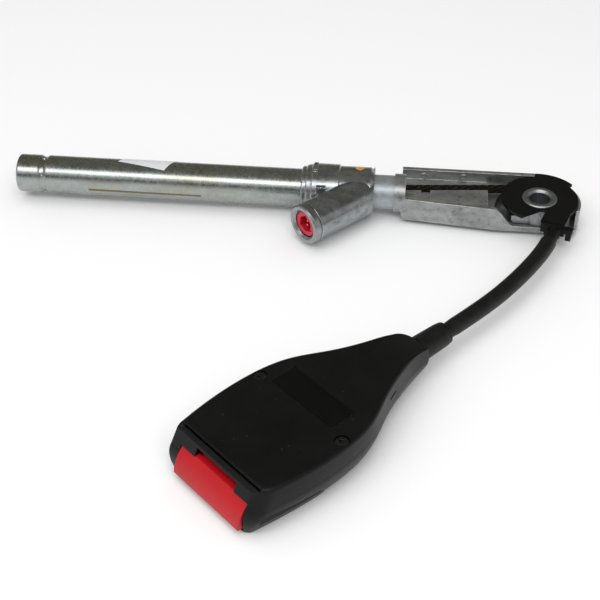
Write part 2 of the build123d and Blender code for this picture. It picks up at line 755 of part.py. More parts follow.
with BuildPart() as cover_disc:
    with BuildSketch(Plane.XY.offset(disc_bottom)):
        Circle(disc_radius)
        with BuildLine():
            tab_arc = CenterArc((0, 0), tab_radius, tab_end_angle, tab_start_angle - tab_end_angle)
            Line((0, 0), tab_arc @ 0)
            Line(tab_arc @ 1, (0, 0))
        make_face()
    extrude(amount=disc_thickness)
    # rope guide hung from the disc over the leaving rope
    block(exit_plane, guide_along, guide_beside, (guide_bottom, disc_top))
    with BuildSketch(Plane.XY.offset(guide_bottom)):
        Circle(deflector_flange_radius + 2 * moving_gap)
    extrude(amount=disc_bottom - guide_bottom, mode=Mode.SUBTRACT)
    # straight edge and gap beside the guide
    with BuildSketch(exit_plane.offset(guide_bottom)):
        with BuildLine():
            Polyline(*disc_cut, close=True)
        make_face()
    extrude(amount=disc_top - guide_bottom, mode=Mode.SUBTRACT)
    # hood over the spout
    block(exit_plane, hood_along, hood_beside, (guide_bottom, disc_top - hood_drop))
    # arm and hook that reach past the bracket's round end
    block(exit_plane, arm_along, arm_beside, arm_heights)
    block(exit_plane, hook_along, hook_beside, (hook_bottom, arm_heights[1]))
    # spout round the rope
    with BuildSketch(Plane(origin=at_exit(guide_along[1]), z_dir=exit_direction)):
        Circle(spout_radius)
    extrude(amount=spout_end - guide_along[1])
    with BuildSketch(Plane(origin=at_exit(0), z_dir=exit_direction)):
        Circle(rope_radius + press_gap)
    extrude(amount=spout_end, mode=Mode.SUBTRACT)
    # bearing on the bush
    with BuildSketch(Plane.XY.offset(disc_bottom)):
        Circle(bush_radius + bearing_gap)
    extrude(amount=disc_thickness, mode=Mode.SUBTRACT)
cover_disc.part.label = "cover_disc"
export_step(cover_disc.part, "parts/cover_disc.step")

# ---------------------------------------------------------------- sleeve, rope in it, boot
tail_mouth = housing_length + boot_length
sleeve_stop = tail_mouth - sleeve_insert
sleeve_points = [
    at_exit(spout_end), at_exit(spout_end + sleeve_first_run), Vector(*sleeve_bend, axis_height),
    at_buckle(housing_length + sleeve_last_run, 0, axis_height), at_buckle(sleeve_stop, 0, axis_height)]


def bend_radii(points):
    """Largest tangent arcs that leave a tenth of each run straight."""
    radii = []
    for before, corner, after in zip(points, points[1:], points[2:]):
        turn = radians((corner - before).get_angle(after - corner))
        shorter = min((corner - before).length, (after - corner).length)
        radii.append(0.45 * shorter / tan(turn / 2))
    return radii


def cord(points, outer, inner=0.0):
    """A plain tube or rod along straight runs joined by tangent arcs."""
    with BuildPart() as run:
        with BuildLine() as path:
            FilletPolyline(*points, radius=bend_radii(points))
        with BuildSketch(Plane(origin=path.line @ 0, z_dir=path.line % 0)):
            Circle(outer)
            if inner:
                Circle(inner, mode=Mode.SUBTRACT)
        sweep()
    length = path.wires()[0].length
    print("cord length", round(length, 2), "radii", [round(r, 1) for r in bend_radii(points)],
          "volume ratio", round(run.part.volume / (pi * (outer**2 - inner**2) * length), 4))
    return run.part


rubber_sleeve = cord(sleeve_points, sleeve_radius, sleeve_bore)
rubber_sleeve.label = "rubber_sleeve"
export_step(rubber_sleeve, "parts/rubber_sleeve.step")

sleeve_rope = cord(sleeve_points, rope_radius)
sleeve_rope.label = "sleeve_rope"
export_step(sleeve_rope, "parts/sleeve_rope.step")

tail_section = Plane(origin=at_buckle(0, 0, axis_height), x_dir=along, z_dir=-across)
tail_axis = Axis(at_buckle(0, 0, axis_height), along)
ferrule_start = frame_wide_end + ferrule_gap
ferrule_end = ferrule_start + ferrule_length
frame_neck = frame_wide_end + frame_shoulder
hollow_end = ferrule_end + hollow_reach
tail_rope_start = ferrule_start + ferrule_crown

with BuildPart() as tail_rope:
    with BuildSketch(Plane(origin=at_buckle(tail_rope_start, 0, axis_height), z_dir=along)):
        Circle(rope_radius)
    extrude(amount=sleeve_stop - moving_gap - tail_rope_start)
tail_rope.part.label = "tail_rope"
export_step(tail_rope.part, "parts/tail_rope.step")

with BuildPart() as rope_ferrule:
    with BuildSketch(tail_section):
        with BuildLine():
            Polyline(
                (ferrule_start, 0), (ferrule_start, ferrule_radius - edge_break),
                (ferrule_start + edge_break, ferrule_radius), (ferrule_end, ferrule_radius),
                (ferrule_end, socket_radius), (tail_rope_start - press_gap, socket_radius),
                (tail_rope_start - press_gap, 0), close=True)
        make_face()
    revolve(axis=tail_axis)
rope_ferrule.part.label = "rope_ferrule"
export_step(rope_ferrule.part, "parts/rope_ferrule.step")

boot_start = housing_length - boot_reach
boot_shoulder = housing_length + boot_shoulder_gap
boot_socket = sleeve_stop - moving_gap
boot_socket_radius = sleeve_radius + moving_gap
with BuildPart() as tail_boot:
    with BuildSketch(tail_section):
        with BuildLine():
            Polyline(
                (boot_start, socket_radius), (boot_start, boot_neck_radius + boot_collar),
                (boot_start + boot_collar_length, boot_neck_radius + boot_collar),
                (boot_start + boot_collar_length, boot_neck_radius), (boot_shoulder, boot_neck_radius),
                (boot_shoulder, boot_radius), (tail_mouth - 2 * boot_collar_length, boot_radius - boot_taper),
                (tail_mouth - boot_lip, sleeve_radius + 2 * boot_lip),
                (tail_mouth, sleeve_radius + boot_lip), (tail_mouth, boot_socket_radius),
                (boot_socket, boot_socket_radius), (boot_socket, socket_radius), close=True)
        make_face()
    revolve(axis=tail_axis)
tail_boot.part.label = "tail_boot"
export_step(tail_boot.part, "parts/tail_boot.step")

# ---------------------------------------------------------------- buckle housing
roof = buckle_top - shell_wall
floor_top = belly_height + shell_wall
button_clear = button_half_width + moving_gap
opening_clear = -2 * button_travel      # well in front of the housing
boot_collar_end = boot_start + boot_collar_length


def outline(z, inset, front, corner):
    """Plan outline of the housing at a height, moved inwards."""
    with BuildSketch(buckle_plane.offset(z)) as plan:
        with BuildLine():
            left = [(front, mouth_half - inset)] + [(a, b - inset) for a, b in half_widths]
            left.append((housing_length - inset, tail_half - inset))
            side = Spline(*left)
            mirror_side = Spline(*[(a, -b) for a, b in left])
            Line(side @ 0, mirror_side @ 0)
            Line(side @ 1, mirror_side @ 1)
        make_face()
        fillet(plan.vertices().group_by(Axis(buckle_plane.origin, along))[0], radius=corner)
        fillet(plan.vertices().group_by(Axis(buckle_plane.origin, along))[-1],
               radius=min(tail_corner, tail_half - inset - tail_flat))
    return plan.sketch


def trim(profile, top):
    """Cuts away what stands beyond a side-view arc, towards a height."""
    first, last = profile[0], profile[-1]
    with BuildSketch(buckle_side) as region:
        with BuildLine():
            if len(profile) == 3:
                ThreePointArc(*profile)
            else:
                Line(first, last)
            Polyline(last, (last[0], top), (first[0], top), first)
        make_face()
    extrude(region.sketch, amount=2 * mouth_half, both=True, mode=Mode.SUBTRACT)


def at_screws(radius, z_range, mode=Mode.ADD):
    """A round boss or hole at both screws."""
    with BuildSketch(buckle_plane.offset(z_range[0])) as plan:
        with Locations(screw_place, (screw_place[0], -screw_place[1])):
            Circle(radius)
    extrude(plan.sketch, amount=z_range[1] - z_range[0], mode=mode)


def boot_hole():
    """Hole through the tail wall for the boot, with room for its collar inside."""
    with BuildSketch(Plane(origin=at_buckle(boot_collar_end, 0, axis_height), z_dir=along)) as hole:
        Circle(boot_neck_radius + press_gap)
    extrude(hole.sketch, amount=housing_length, mode=Mode.SUBTRACT)
    with BuildSketch(Plane(origin=at_buckle(boot_start, 0, axis_height), z_dir=along)) as seat:
        Circle(boot_neck_radius + boot_collar + press_gap)
    extrude(seat.sketch, amount=boot_collar_length, mode=Mode.SUBTRACT)


with BuildPart() as upper_shell:
    loft([outline(*section) for section in upper_sections])
    fillet(upper_shell.faces().sort_by(Axis.Z)[-1].edges(), radius=shell_wall)
    trim(tail_slope, 2 * buckle_top)
    trim(mouth_slope, 2 * buckle_top)
    # hollow, with room for the frame up to the roof
    extrude(outline(parting_height, shell_wall, hollow_front, shell_wall), amount=roof - parting_height - shell_wall,
            mode=Mode.SUBTRACT)
    frame_room = frame_half_width + moving_gap
    neck_room = web_half_width + moving_gap
    block(buckle_plane, (hollow_front, frame_neck + moving_gap), (-frame_room, frame_room),
          (roof - shell_wall, roof), Mode.SUBTRACT)
    block(buckle_plane, (frame_neck, hollow_end), (-neck_room, neck_room), (roof - shell_wall, roof), Mode.SUBTRACT)
    # mouth: tongue slot above, button opening below
    block(buckle_plane, (opening_clear, hollow_front), (-mouth_half_width, mouth_half_width),
          (tongue_low, tongue_high), Mode.SUBTRACT)
    block(buckle_plane, (opening_clear, hollow_front), (-button_clear, button_clear),
          (parting_height, tongue_low), Mode.SUBTRACT)
    # lip groove and trim recess
    block(buckle_plane, groove_along, (-groove_half_length, groove_half_length),
          (groove_bottom, buckle_top), Mode.SUBTRACT)
    block(buckle_plane, recess_along, recess_across, (buckle_top - recess_depth, buckle_top), Mode.SUBTRACT)
    # vent slit in each side
    for side_range in both_sides(slit_across):
        block(buckle_plane, slit_along, side_range, slit_heights, Mode.SUBTRACT)
    # screw bosses
    at_screws(boss_radius, (parting_height, roof))
    at_screws(screw_radius + moving_gap, (parting_height, buckle_top), Mode.SUBTRACT)
    at_screws(screw_head_radius + moving_gap, (buckle_top - screw_sink, buckle_top), Mode.SUBTRACT)
    boot_hole()
upper_shell.part.label = "upper_shell"
export_step(upper_shell.part, "parts/upper_shell.step")

with BuildPart() as lower_shell:
    loft([outline(*section) for section in lower_sections])
    fillet(lower_shell.faces().sort_by(Axis.Z)[0].edges(), radius=bottom_round)
    # the front step reaches the table, the belly behind it is higher and slopes up at the tail
    block(buckle_plane, (step_length, 2 * housing_length), (-2 * mouth_half, 2 * mouth_half),
          (0, belly_height), Mode.SUBTRACT)
    trim(belly_slope, 0)
    # strip round the foot, set back under the side wall
    with BuildSketch(buckle_side) as strip:
        with BuildLine():
            Polyline(
                (strip_along[0], 0), (strip_along[1], 0), (strip_along[1], strip_tops[1]),
                (strip_along[0], strip_tops[0]), close=True)
        make_face()
    band = extrude(strip.sketch, amount=2 * mouth_half, both=True, mode=Mode.PRIVATE)
    core = extrude(outline(0, strip_inset, lower_sections[1][2], shell_wall), amount=parting_height,
                   mode=Mode.PRIVATE)
    add(band - core, mode=Mode.SUBTRACT)
    # mechanism bay behind, button bay in front
    extrude(outline(parting_height, shell_wall + bottom_round, lower_hollow_front, shell_wall),
            amount=floor_top - parting_height, mode=Mode.SUBTRACT)
    block(buckle_plane, (opening_clear, bay_end), (-button_clear, button_clear),
          (shell_wall, parting_height), Mode.SUBTRACT)
    # screw bosses
    at_screws(boss_radius, (boss_start, parting_height))
    at_screws(screw_radius + press_gap, (boss_start, parting_height), Mode.SUBTRACT)
    for side_range in both_sides((frame_half_width + moving_gap, leg_outer + moving_gap)):
        block(buckle_plane, post_along, side_range, (floor_top - 1, parting_height))
    for side_range in both_sides(catch_across):
        block(buckle_plane, catch_along, side_range, catch_heights, Mode.SUBTRACT)
    for side_range in both_sides((frame_half_width - frame_plate, frame_half_width)):
        block(buckle_plane, rail_along, side_range, (floor_top - 1, frame_bottom))
    boot_hole()
lower_shell.part.label = "lower_shell"
export_step(lower_shell.part, "parts/lower_shell.step")

with BuildPart() as shell_screws:
    at_screws(screw_head_radius, (buckle_top - screw_sink, buckle_top - screw_sink + screw_head_height))
    at_screws(screw_radius, (boss_start, buckle_top - screw_sink))
    with BuildSketch(buckle_plane.offset(buckle_top - screw_sink + screw_head_height / 3)):
        with Locations(screw_place, (screw_place[0], -screw_place[1])):
            RegularPolygon(screw_socket, 6)
    extrude(amount=screw_head_height, mode=Mode.SUBTRACT)
shell_screws.part.label = "shell_screws"
export_step(shell_screws.part, "parts/shell_screws.step")

# ---------------------------------------------------------------- frame inside the housing
frame_top = roof - frame_top_gap
web_start = ferrule_end + press_gap
web_end = web_start + frame_plate
guide_plate_top = tongue_low - guide_plate_drop
guide_plate_bottom = guide_plate_top - frame_plate
pin_reach = latch_pin_radius + moving_gap
latch_window = (latch_along[0] - moving_gap, latch_along[1] + moving_gap)
window_half_width = latch_half_width + moving_gap

with BuildPart() as buckle_frame:
    with BuildSketch(buckle_plane.offset(frame_top - frame_plate)):
        with BuildLine():
            Polyline(
                (frame_start, frame_half_width), (frame_wide_end, frame_half_width), (frame_neck, web_half_width),
                (web_end, web_half_width), (web_end, -web_half_width), (frame_neck, -web_half_width),
                (frame_wide_end, -frame_half_width), (frame_start, -frame_half_width), close=True)
        make_face()
    extrude(amount=frame_plate)
    for side_range in both_sides((frame_half_width - frame_plate, frame_half_width)):
        block(buckle_plane, (frame_start, frame_wide_end), side_range, (frame_bottom, frame_top))
    # guide plate under the tongue, rear web for the rope ferrule, stop for the ejector's spring
    block(buckle_plane, (frame_start, frame_wide_end), (-frame_half_width, frame_half_width),
          (guide_plate_bottom, guide_plate_top))
    block(buckle_plane, (web_start, web_end), (-web_half_width, web_half_width), (frame_bottom, frame_top))
    block(buckle_plane, (frame_wide_end - frame_plate, frame_wide_end), (-stop_half_width, stop_half_width),
          (guide_plate_bottom, frame_top))
    # window for the latch, slots for its pin, hole for the rope
    block(buckle_plane, latch_window, (-window_half_width, window_half_width), (frame_bottom, buckle_top),
          Mode.SUBTRACT)
    block(buckle_plane, (latch_pin_along - pin_reach, latch_pin_along + pin_reach),
          (-2 * frame_half_width, 2 * frame_half_width), (0, latch_pin_height + pin_reach), Mode.SUBTRACT)
    with BuildSketch(Plane(origin=at_buckle(web_start, 0, axis_height), z_dir=along)):
        Circle(rope_radius + moving_gap)
    extrude(amount=frame_plate, mode=Mode.SUBTRACT)
buckle_frame.part.label = "buckle_frame"
export_step(buckle_frame.part, "parts/buckle_frame.step")

# ---------------------------------------------------------------- press button
slot_slope = latch_travel / button_travel
face_foot = button_face[0]
face_ridge = button_face[-1]
top_front = (face_ridge[0] + button_top - face_ridge[1], button_top)

with BuildPart() as press_button:
    with BuildSketch(buckle_side):
        with BuildLine():
            ThreePointArc(*button_face)
            Polyline(
                face_ridge, top_front, (button_back, button_top), (button_back, button_inner[0][1]),
                *button_inner, (button_inner[-1][0], face_foot[1]), face_foot)
        make_face()
    extrude(amount=button_half_width, both=True)
    for side in (-1, 1):
        with BuildSketch(buckle_side.offset(side * (button_half_width - button_end_wall))):
            with BuildLine():
                ThreePointArc(*button_face)
                Polyline(
                    face_ridge, top_front, (button_back, button_top), (button_back, leg_heights[0]),
                    (button_inner[-1][0], face_foot[1]), face_foot)
            make_face()
        extrude(amount=side * button_end_wall)
    # notches at the ends of the tongue slot
    for side_range in both_sides(notch_across):
        block(buckle_plane, notch_along, side_range, (notch_bottom, button_top + 1), Mode.SUBTRACT)
    # legs with the inclined slots that move the latch pin
    for side_range in both_sides((leg_inner, leg_outer)):
        block(buckle_plane, (0, leg_end), side_range, leg_heights)
    run_back = button_travel + moving_gap
    with BuildSketch(buckle_side):
        with BuildLine(mode=Mode.PRIVATE):
            slide = Line((latch_pin_along + moving_gap, latch_pin_height + moving_gap * slot_slope),
                         (latch_pin_along - run_back, latch_pin_height - run_back * slot_slope))
        with Locations(Location(tuple(slide @ 0.5), (0, 0, degrees(atan2(slot_slope, 1))))):
            SlotCenterToCenter(slide.length, 2 * pin_reach)
    extrude(amount=2 * leg_outer, both=True, mode=Mode.SUBTRACT)
press_button.part.label = "press_button"
export_step(press_button.part, "parts/press_button.step")

# ---------------------------------------------------------------- latch
with BuildPart() as latch:
    block(buckle_plane, latch_along, (-latch_half_width, latch_half_width),
          (latch_bottom, tongue_low - moving_gap))
    with BuildSketch(buckle_side):
        with BuildLine():
            Polyline(
                (latch_along[0] + 1.5, latch_bottom), (latch_along[0] + 1.5, tongue_low),
                (latch_along[0] + 4.0, latch_nose_top), (latch_along[1] - 1.0, latch_nose_top),
                (latch_along[1] - 1.0, latch_bottom), close=True)
        make_face()
    extrude(amount=latch_half_width - 1.5, both=True)
    with BuildSketch(Plane(origin=at_buckle(latch_pin_along, -latch_half_width, latch_pin_height + table_height),
                           z_dir=across)):
        Circle(latch_pin_radius + press_gap)
    extrude(amount=2 * latch_half_width, mode=Mode.SUBTRACT)
latch.part.label = "latch"
export_step(latch.part, "parts/latch.step")

with BuildPart() as latch_pin:
    with BuildSketch(Plane(origin=at_buckle(latch_pin_along, -leg_outer, latch_pin_height + table_height),
                           z_dir=across)):
        Circle(latch_pin_radius)
    extrude(amount=2 * leg_outer)
latch_pin.part.label = "latch_pin"
export_step(latch_pin.part, "parts/latch_pin.step")

# ---------------------------------------------------------------- ejector and springs
ejector_heights = (guide_plate_top + moving_gap, frame_top - frame_plate - moving_gap)
with BuildPart() as ejector:
    block(buckle_plane, ejector_along, (-ejector_half_width, ejector_half_width), ejector_heights)
ejector.part.label = "ejector"
export_step(ejector.part, "parts/ejector.step")


def coil_spring(start, stop, side, height):
    """A helical compression spring between two distances along the buckle."""
    first = start + moving_gap + spring_wire
    length = stop - moving_gap - spring_wire - first
    with BuildPart() as spring:
        with BuildLine() as coil:
            Helix(pitch=length / spring_turns, height=length, radius=coil_radius,
                  center=at_buckle(first, side, height + table_height), direction=along)
        with BuildSketch(Plane(origin=coil.line @ 0, z_dir=coil.line % 0)):
            Circle(spring_wire)
        sweep(is_frenet=True)
    return spring.part


ejector_spring = coil_spring(ejector_along[1], frame_wide_end - frame_plate, 0, sum(ejector_heights) / 2)
ejector_spring.label = "ejector_spring"
export_step(ejector_spring, "parts/ejector_spring.step")

leg_middle = (leg_inner + leg_outer) / 2
button_springs = Compound(children=[
    coil_spring(leg_end, post_along[0], side * leg_middle, spring_height) for side in (-1, 1)])
button_springs.label = "button_springs"
export_step(button_springs, "parts/button_springs.step")
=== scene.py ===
# %% [markdown]
# # A seat belt buckle with its tensioner
#
# The solids of this part come ready made, as a frame: a plated tube, a cast manifold and bracket, a
# sleeved cable and a black buckle with a red button. This lesson dresses them. The solids that are
# right keep their shape and get a finish. What solids can't say well, such as the strands of a rope,
# a rubber sleeve, a spring or a stuck-on label, is worked out here with numpy and put in their place.
#
# The frame is in metres and the part's own sizes are in millimetres, so MM turns one into the other.
# The box of the bare solids is measured first, before anything is added to them.

# %% Load the frame
import math

import bpy
import numpy as np
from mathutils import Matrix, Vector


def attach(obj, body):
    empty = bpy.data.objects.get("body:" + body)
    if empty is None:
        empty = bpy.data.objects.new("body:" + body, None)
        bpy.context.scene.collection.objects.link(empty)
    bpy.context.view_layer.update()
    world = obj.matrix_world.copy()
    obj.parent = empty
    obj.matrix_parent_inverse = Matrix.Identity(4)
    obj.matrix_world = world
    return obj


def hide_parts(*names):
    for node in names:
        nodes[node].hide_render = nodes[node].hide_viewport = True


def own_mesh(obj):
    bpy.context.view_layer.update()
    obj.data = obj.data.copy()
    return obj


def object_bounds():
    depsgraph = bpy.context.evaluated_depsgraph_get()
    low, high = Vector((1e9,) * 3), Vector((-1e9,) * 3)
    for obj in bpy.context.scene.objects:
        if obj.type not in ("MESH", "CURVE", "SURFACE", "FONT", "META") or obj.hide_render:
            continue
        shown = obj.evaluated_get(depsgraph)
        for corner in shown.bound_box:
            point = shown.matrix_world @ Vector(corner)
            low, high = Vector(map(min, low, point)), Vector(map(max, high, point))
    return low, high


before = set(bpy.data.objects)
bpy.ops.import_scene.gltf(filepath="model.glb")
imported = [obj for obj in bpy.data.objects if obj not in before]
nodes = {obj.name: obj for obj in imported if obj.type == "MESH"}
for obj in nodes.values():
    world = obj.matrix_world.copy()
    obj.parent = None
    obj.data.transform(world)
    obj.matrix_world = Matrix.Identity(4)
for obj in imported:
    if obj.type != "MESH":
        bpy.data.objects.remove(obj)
cad_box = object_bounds()
MM = 0.001
print("frame", len(nodes), "nodes, size in mm", [round((b - a) / MM, 1) for a, b in zip(*cad_box)])

# %% [markdown]
# ## The camera
#
# The buckle is seen from in front and above, at 40 degrees, with a long lens. A wide lens close by
# would also take it all in, but it would make the buckle, which is nearer, look too large. A long one
# keeps the tube's sides nearly parallel. The camera only needs a place, a point to look at and an
# angle of view, which follows from half the picture's width at a distance of one.

# %% Camera
CAMERA_PLACE = np.array([-76.7, -565.9, 406.7]) * MM
CAMERA_TARGET = np.array([-123.3, -76.5, -3.0]) * MM
HALF_WIDTH_AT_ONE = 0.24
VIEW_ANGLE = 2 * math.atan(HALF_WIDTH_AT_ONE)


def linked(name, data):
    """A new object that shows a mesh, a lamp or a camera, put in the scene."""
    made = bpy.data.objects.new(name, data)
    bpy.context.scene.collection.objects.link(made)
    return made


def aim(item, place, target):
    """Puts an object at a place and turns its -Z axis towards a target, with its Y axis up."""
    place, target = (tuple(float(v) for v in p) for p in (place, target))
    item.location = place
    line = item.location.copy()
    line.x, line.y, line.z = (t - p for t, p in zip(target, place))
    item.rotation_euler = line.to_track_quat("-Z", "Y").to_euler()


camera_data = bpy.data.cameras.new("camera")
camera_data.sensor_fit = "HORIZONTAL"
camera_data.angle = VIEW_ANGLE
camera_data.clip_end = 50.0
camera = linked("camera", camera_data)
aim(camera, CAMERA_PLACE, CAMERA_TARGET)
bpy.context.scene.camera = camera
print("view angle in degrees", round(math.degrees(VIEW_ANGLE), 1))

# %% [markdown]
# ## Colours, nodes and materials
#
# Colours are written as the hex values that a screen shows, and one function turns them to the linear
# values that light works in. One function adds any node, so a finish reads as a short list: what
# the pattern is, how large it is in millimetres, and which socket it drives. Nodes could be placed by
# hand in the editor instead, but a list in words can be read, compared and changed in one place.

# %% Colour and node helpers
NEW_STOP = 0.5  # any place will do, since each stop is moved to its own place at once


def srgb(code):
    """A hex colour as linear red, green, blue and alpha: each channel undoes the screen's curve."""
    parts = [int(code[i:i + 2], 16) / 255 for i in (1, 3, 5)]
    return tuple(p / 12.92 if p <= 0.04045 else ((p + 0.055) / 1.055) ** 2.4 for p in parts) + (1.0,)


def add(tree, kind, settings=None, values=None, links=None):
    """One node: its settings, the constants on its sockets and the outputs that feed it."""
    made = tree.nodes.new("ShaderNode" + kind)
    for name, value in (settings or {}).items():
        setattr(made, name, value)
    for socket, value in (values or {}).items():
        made.inputs[socket].default_value = value
    for socket, output in (links or {}).items():
        tree.links.new(output, made.inputs[socket])
    return made


def material(name, **constants):
    """A new material: its node tree, its surface shader with constant values, and the place on the piece."""
    made = bpy.data.materials.new(name)
    made.use_nodes = True
    shader = made.node_tree.nodes["Principled BSDF"]
    for socket, value in constants.items():
        shader.inputs[socket.replace("_", " ")].default_value = value
    place = add(made.node_tree, "TexCoord").outputs["Object"]
    return made, made.node_tree, shader, place


def grain(tree, place, size_mm, stretch=(1, 1, 1), *, detail, rough=0.55):
    """A noise pattern whose patches are size_mm across, drawn out along an axis by a stretch above 1."""
    laid = add(tree, "Mapping", values={"Scale": tuple(1 / s for s in stretch)}, links={"Vector": place})
    noise = add(tree, "TexNoise", values={"Scale": 1 / (size_mm * MM), "Detail": detail, "Roughness": rough},
                links={"Vector": laid.outputs[0]})
    return noise.outputs["Fac"]


def ramp(tree, pattern, *stops):
    """Colours or greys spread over a pattern: each stop is a place from 0 to 1 and a colour or a number."""
    band = add(tree, "ValToRGB", links={"Fac": pattern})
    colours = [(at, srgb(c) if isinstance(c, str) else (c, c, c, 1.0)) for at, c in stops]
    points = band.color_ramp.elements
    while len(points) < len(colours):
        points.new(NEW_STOP)
    for point, (at, colour) in zip(points, colours):
        point.position = at
        point.color = colour
    return band.outputs["Color"]


def mix(tree, share, low, high):
    """A colour between two others, by a share from 0 to 1. Each colour is a hex value or an output."""
    made = add(tree, "Mix", {"data_type": "RGBA"})
    for socket, value in ((0, share), (6, low), (7, high)):
        if isinstance(value, str):
            made.inputs[socket].default_value = srgb(value)
        elif isinstance(value, (int, float)):
            made.inputs[socket].default_value = value
        else:
            tree.links.new(value, made.inputs[socket])
    return made.outputs[2]


def relief(tree, shader, pattern, depth_mm, strength, under=None):
    """Raises the surface by up to depth_mm where the pattern is bright, on top of another relief."""
    links = {"Height": pattern}
    if under is not None:
        links["Normal"] = under
    bump = add(tree, "Bump", values={"Strength": strength, "Distance": depth_mm * MM}, links=links)
    tree.links.new(bump.outputs[0], shader.inputs["Normal"])
    return bump.outputs[0]


def soft_edges(tree, reach_mm):
    """The surface direction averaged over reach_mm, which rounds sharp edges as tumbling or moulding does."""
    return add(tree, "Bevel", {"samples": 4}, {"Radius": reach_mm * MM}).outputs[0]


def edge_share(tree, rounded, low, high):
    """A share that is 1 on a sharp edge: one minus the dot product of the averaged direction and the
    face's own, spread from low to high."""
    flat = add(tree, "NewGeometry").outputs["Normal"]
    same = add(tree, "VectorMath", {"operation": "DOT_PRODUCT"}, links={0: rounded, 1: flat})
    share = add(tree, "MapRange", values={"From Min": 1 - low, "From Max": 1 - high},
                links={"Value": same.outputs["Value"]})
    return share.outputs[0]


def height_band(tree, place, axis, low_mm, high_mm):
    """A share that runs from 0 at one place along an axis to 1 at another, both in millimetres."""
    split = add(tree, "SeparateXYZ", links={"Vector": place})
    band = add(tree, "MapRange", values={"From Min": low_mm * MM, "From Max": high_mm * MM},
               links={"Value": split.outputs[axis]})
    return band.outputs[0]


# %% [markdown]
# ## Metals
#
# The tube is drawn steel with a thin zinc plating and a clear chromate dip. The dip leaves a faint
# green and straw tint in soft patches, and handling leaves long fine scratches. So its colour comes
# from a large pattern drawn out along the tube, and its gloss from a fine one. A painted picture
# wrapped round the tube could do this too, but it would need a seam, and a pattern needs none.

# %% Zinc-plated tube
plated_steel, tree, shader, place = material("zinc_plated_drawn_steel", Metallic=1.0)
patches = grain(tree, place, 11, (3, 1, 1), detail=3)
speckle = grain(tree, place, 2.4, detail=4, rough=0.6)
tint = ramp(tree, patches, (0.3, "#8D9390"), (0.5, "#A5AAA8"), (0.7, "#98978A"))
frost = mix(tree, ramp(tree, speckle, (0.45, 0.0), (0.7, 0.3)), tint, "#BFC4C1")
tree.links.new(frost, shader.inputs["Base Color"])
tree.links.new(ramp(tree, speckle, (0.3, 0.22), (0.7, 0.34)), shader.inputs["Roughness"])
scratches = grain(tree, place, 0.35, (60, 1, 1), detail=2)
first = relief(tree, shader, speckle, 0.05, 0.13, soft_edges(tree, 0.4))
relief(tree, shader, scratches, 0.01, 0.5, first)
print("made", plated_steel.name)

# %% [markdown]
# The manifold and the bracket are die cast. Molten metal that chills against a steel die gets a smooth
# grey skin with faint flow marks, darker where the skin is thick. The edges are painted near white in
# a broken line: partly metal rubbed bright by handling, and partly a painted highlight for the glint
# of light along them, on hollow edges as well as outer ones. The edges could be painted by hand. Here
# they are found by comparing each face's direction with its neighbours', which also works on a mesh
# that can't be painted.

# %% Die-cast metal


def cast_metal(name, skin, light, rim, metallic, gloss):
    """A die-cast finish: grey patches for the skin, small pores, and edges painted near white in a broken
    line, partly rubbed metal and partly a painted highlight. Gloss gives the roughness of the smoothest
    and the dullest patches."""
    made, tree, shader, place = material(name, Metallic=metallic)
    flow = grain(tree, place, 7, (1.8, 1, 1), detail=4)
    pores = grain(tree, place, 0.7, detail=4, rough=0.7)
    stains = grain(tree, place, 3.5, detail=4, rough=0.65)
    body = mix(tree, ramp(tree, stains, (0.55, 0.0), (0.72, 0.6)),
               ramp(tree, flow, (0.28, skin), (0.6, light), (0.75, skin)), "#55585A")
    rounded = soft_edges(tree, 0.5)
    broken = grain(tree, place, 2.4, (2, 1, 1), detail=3)
    # Edges are laid near white, on hollow edges too: partly rubbed metal and partly a painted highlight for
    # the glint of light.
    rubbed_and_highlight_edges = add(tree, "Math", {"operation": "MULTIPLY"}, links={
        0: edge_share(tree, rounded, 0.004, 0.08), 1: ramp(tree, broken, (0.38, 0.2), (0.56, 1.0))})
    tree.links.new(mix(tree, rubbed_and_highlight_edges.outputs[0], body, rim), shader.inputs["Base Color"])
    tree.links.new(ramp(tree, flow, (0.3, gloss[0]), (0.7, gloss[1])), shader.inputs["Roughness"])
    first = relief(tree, shader, flow, 0.3, 0.3, rounded)
    relief(tree, shader, pores, 0.05, 0.6, first)
    return made


# The fourth colour is the edges': near white, partly rubbed metal and partly a painted highlight.
cast_bracket = cast_metal("die_cast_zinc_bracket", "#7F8182", "#A6A8A7", "#F2F0E8", 0.8, (0.3, 0.44))
cast_manifold = cast_metal("die_cast_zinc_manifold", "#7A7D7F", "#A0A3A5", "#E2E1DC", 0.95, (0.2, 0.32))
print("made", cast_bracket.name, "and", cast_manifold.name)

# %% [markdown]
# Turned, pressed and drawn steel differ mostly in the marks the tool left: rings, a matt scale
# or a drawn polish. A finish for each would repeat the same nodes, so one short recipe takes the
# tones, the roughness and the size of the mark.

# %% Plain steels


def worked_steel(name, low, high, roughness, mark_mm, stretch, metallic=1.0):
    """A bare steel whose tool marks are mark_mm wide, drawn out by a stretch along an axis."""
    made, tree, shader, place = material(name, Metallic=metallic)
    marks = grain(tree, place, mark_mm, stretch, detail=3)
    tree.links.new(ramp(tree, marks, (0.3, low), (0.7, high)), shader.inputs["Base Color"])
    tree.links.new(ramp(tree, marks, (0.3, roughness), (0.7, roughness + 0.12)), shader.inputs["Roughness"])
    relief(tree, shader, marks, 0.02, 0.5, soft_edges(tree, 0.25))
    return made


# Turning leaves fine rings, which smear a lamp's reflection into a soft band.
turned_steel = worked_steel("turned_steel", "#8B8D8F", "#A9ABAC", 0.28, 0.5, (1, 1, 5))
# Rolled sheet is even and a little dull, with broad faint clouds.
pressed_steel = worked_steel("pressed_spring_steel_sheet", "#8A8C8E", "#A8AAAB", 0.34, 1.2, (3, 3, 1))
# Brushed after turning, so its shine is wide and soft.
satin_steel = worked_steel("satin_turned_steel", "#85898C", "#A9ACAE", 0.36, 0.9, (1, 1, 3))
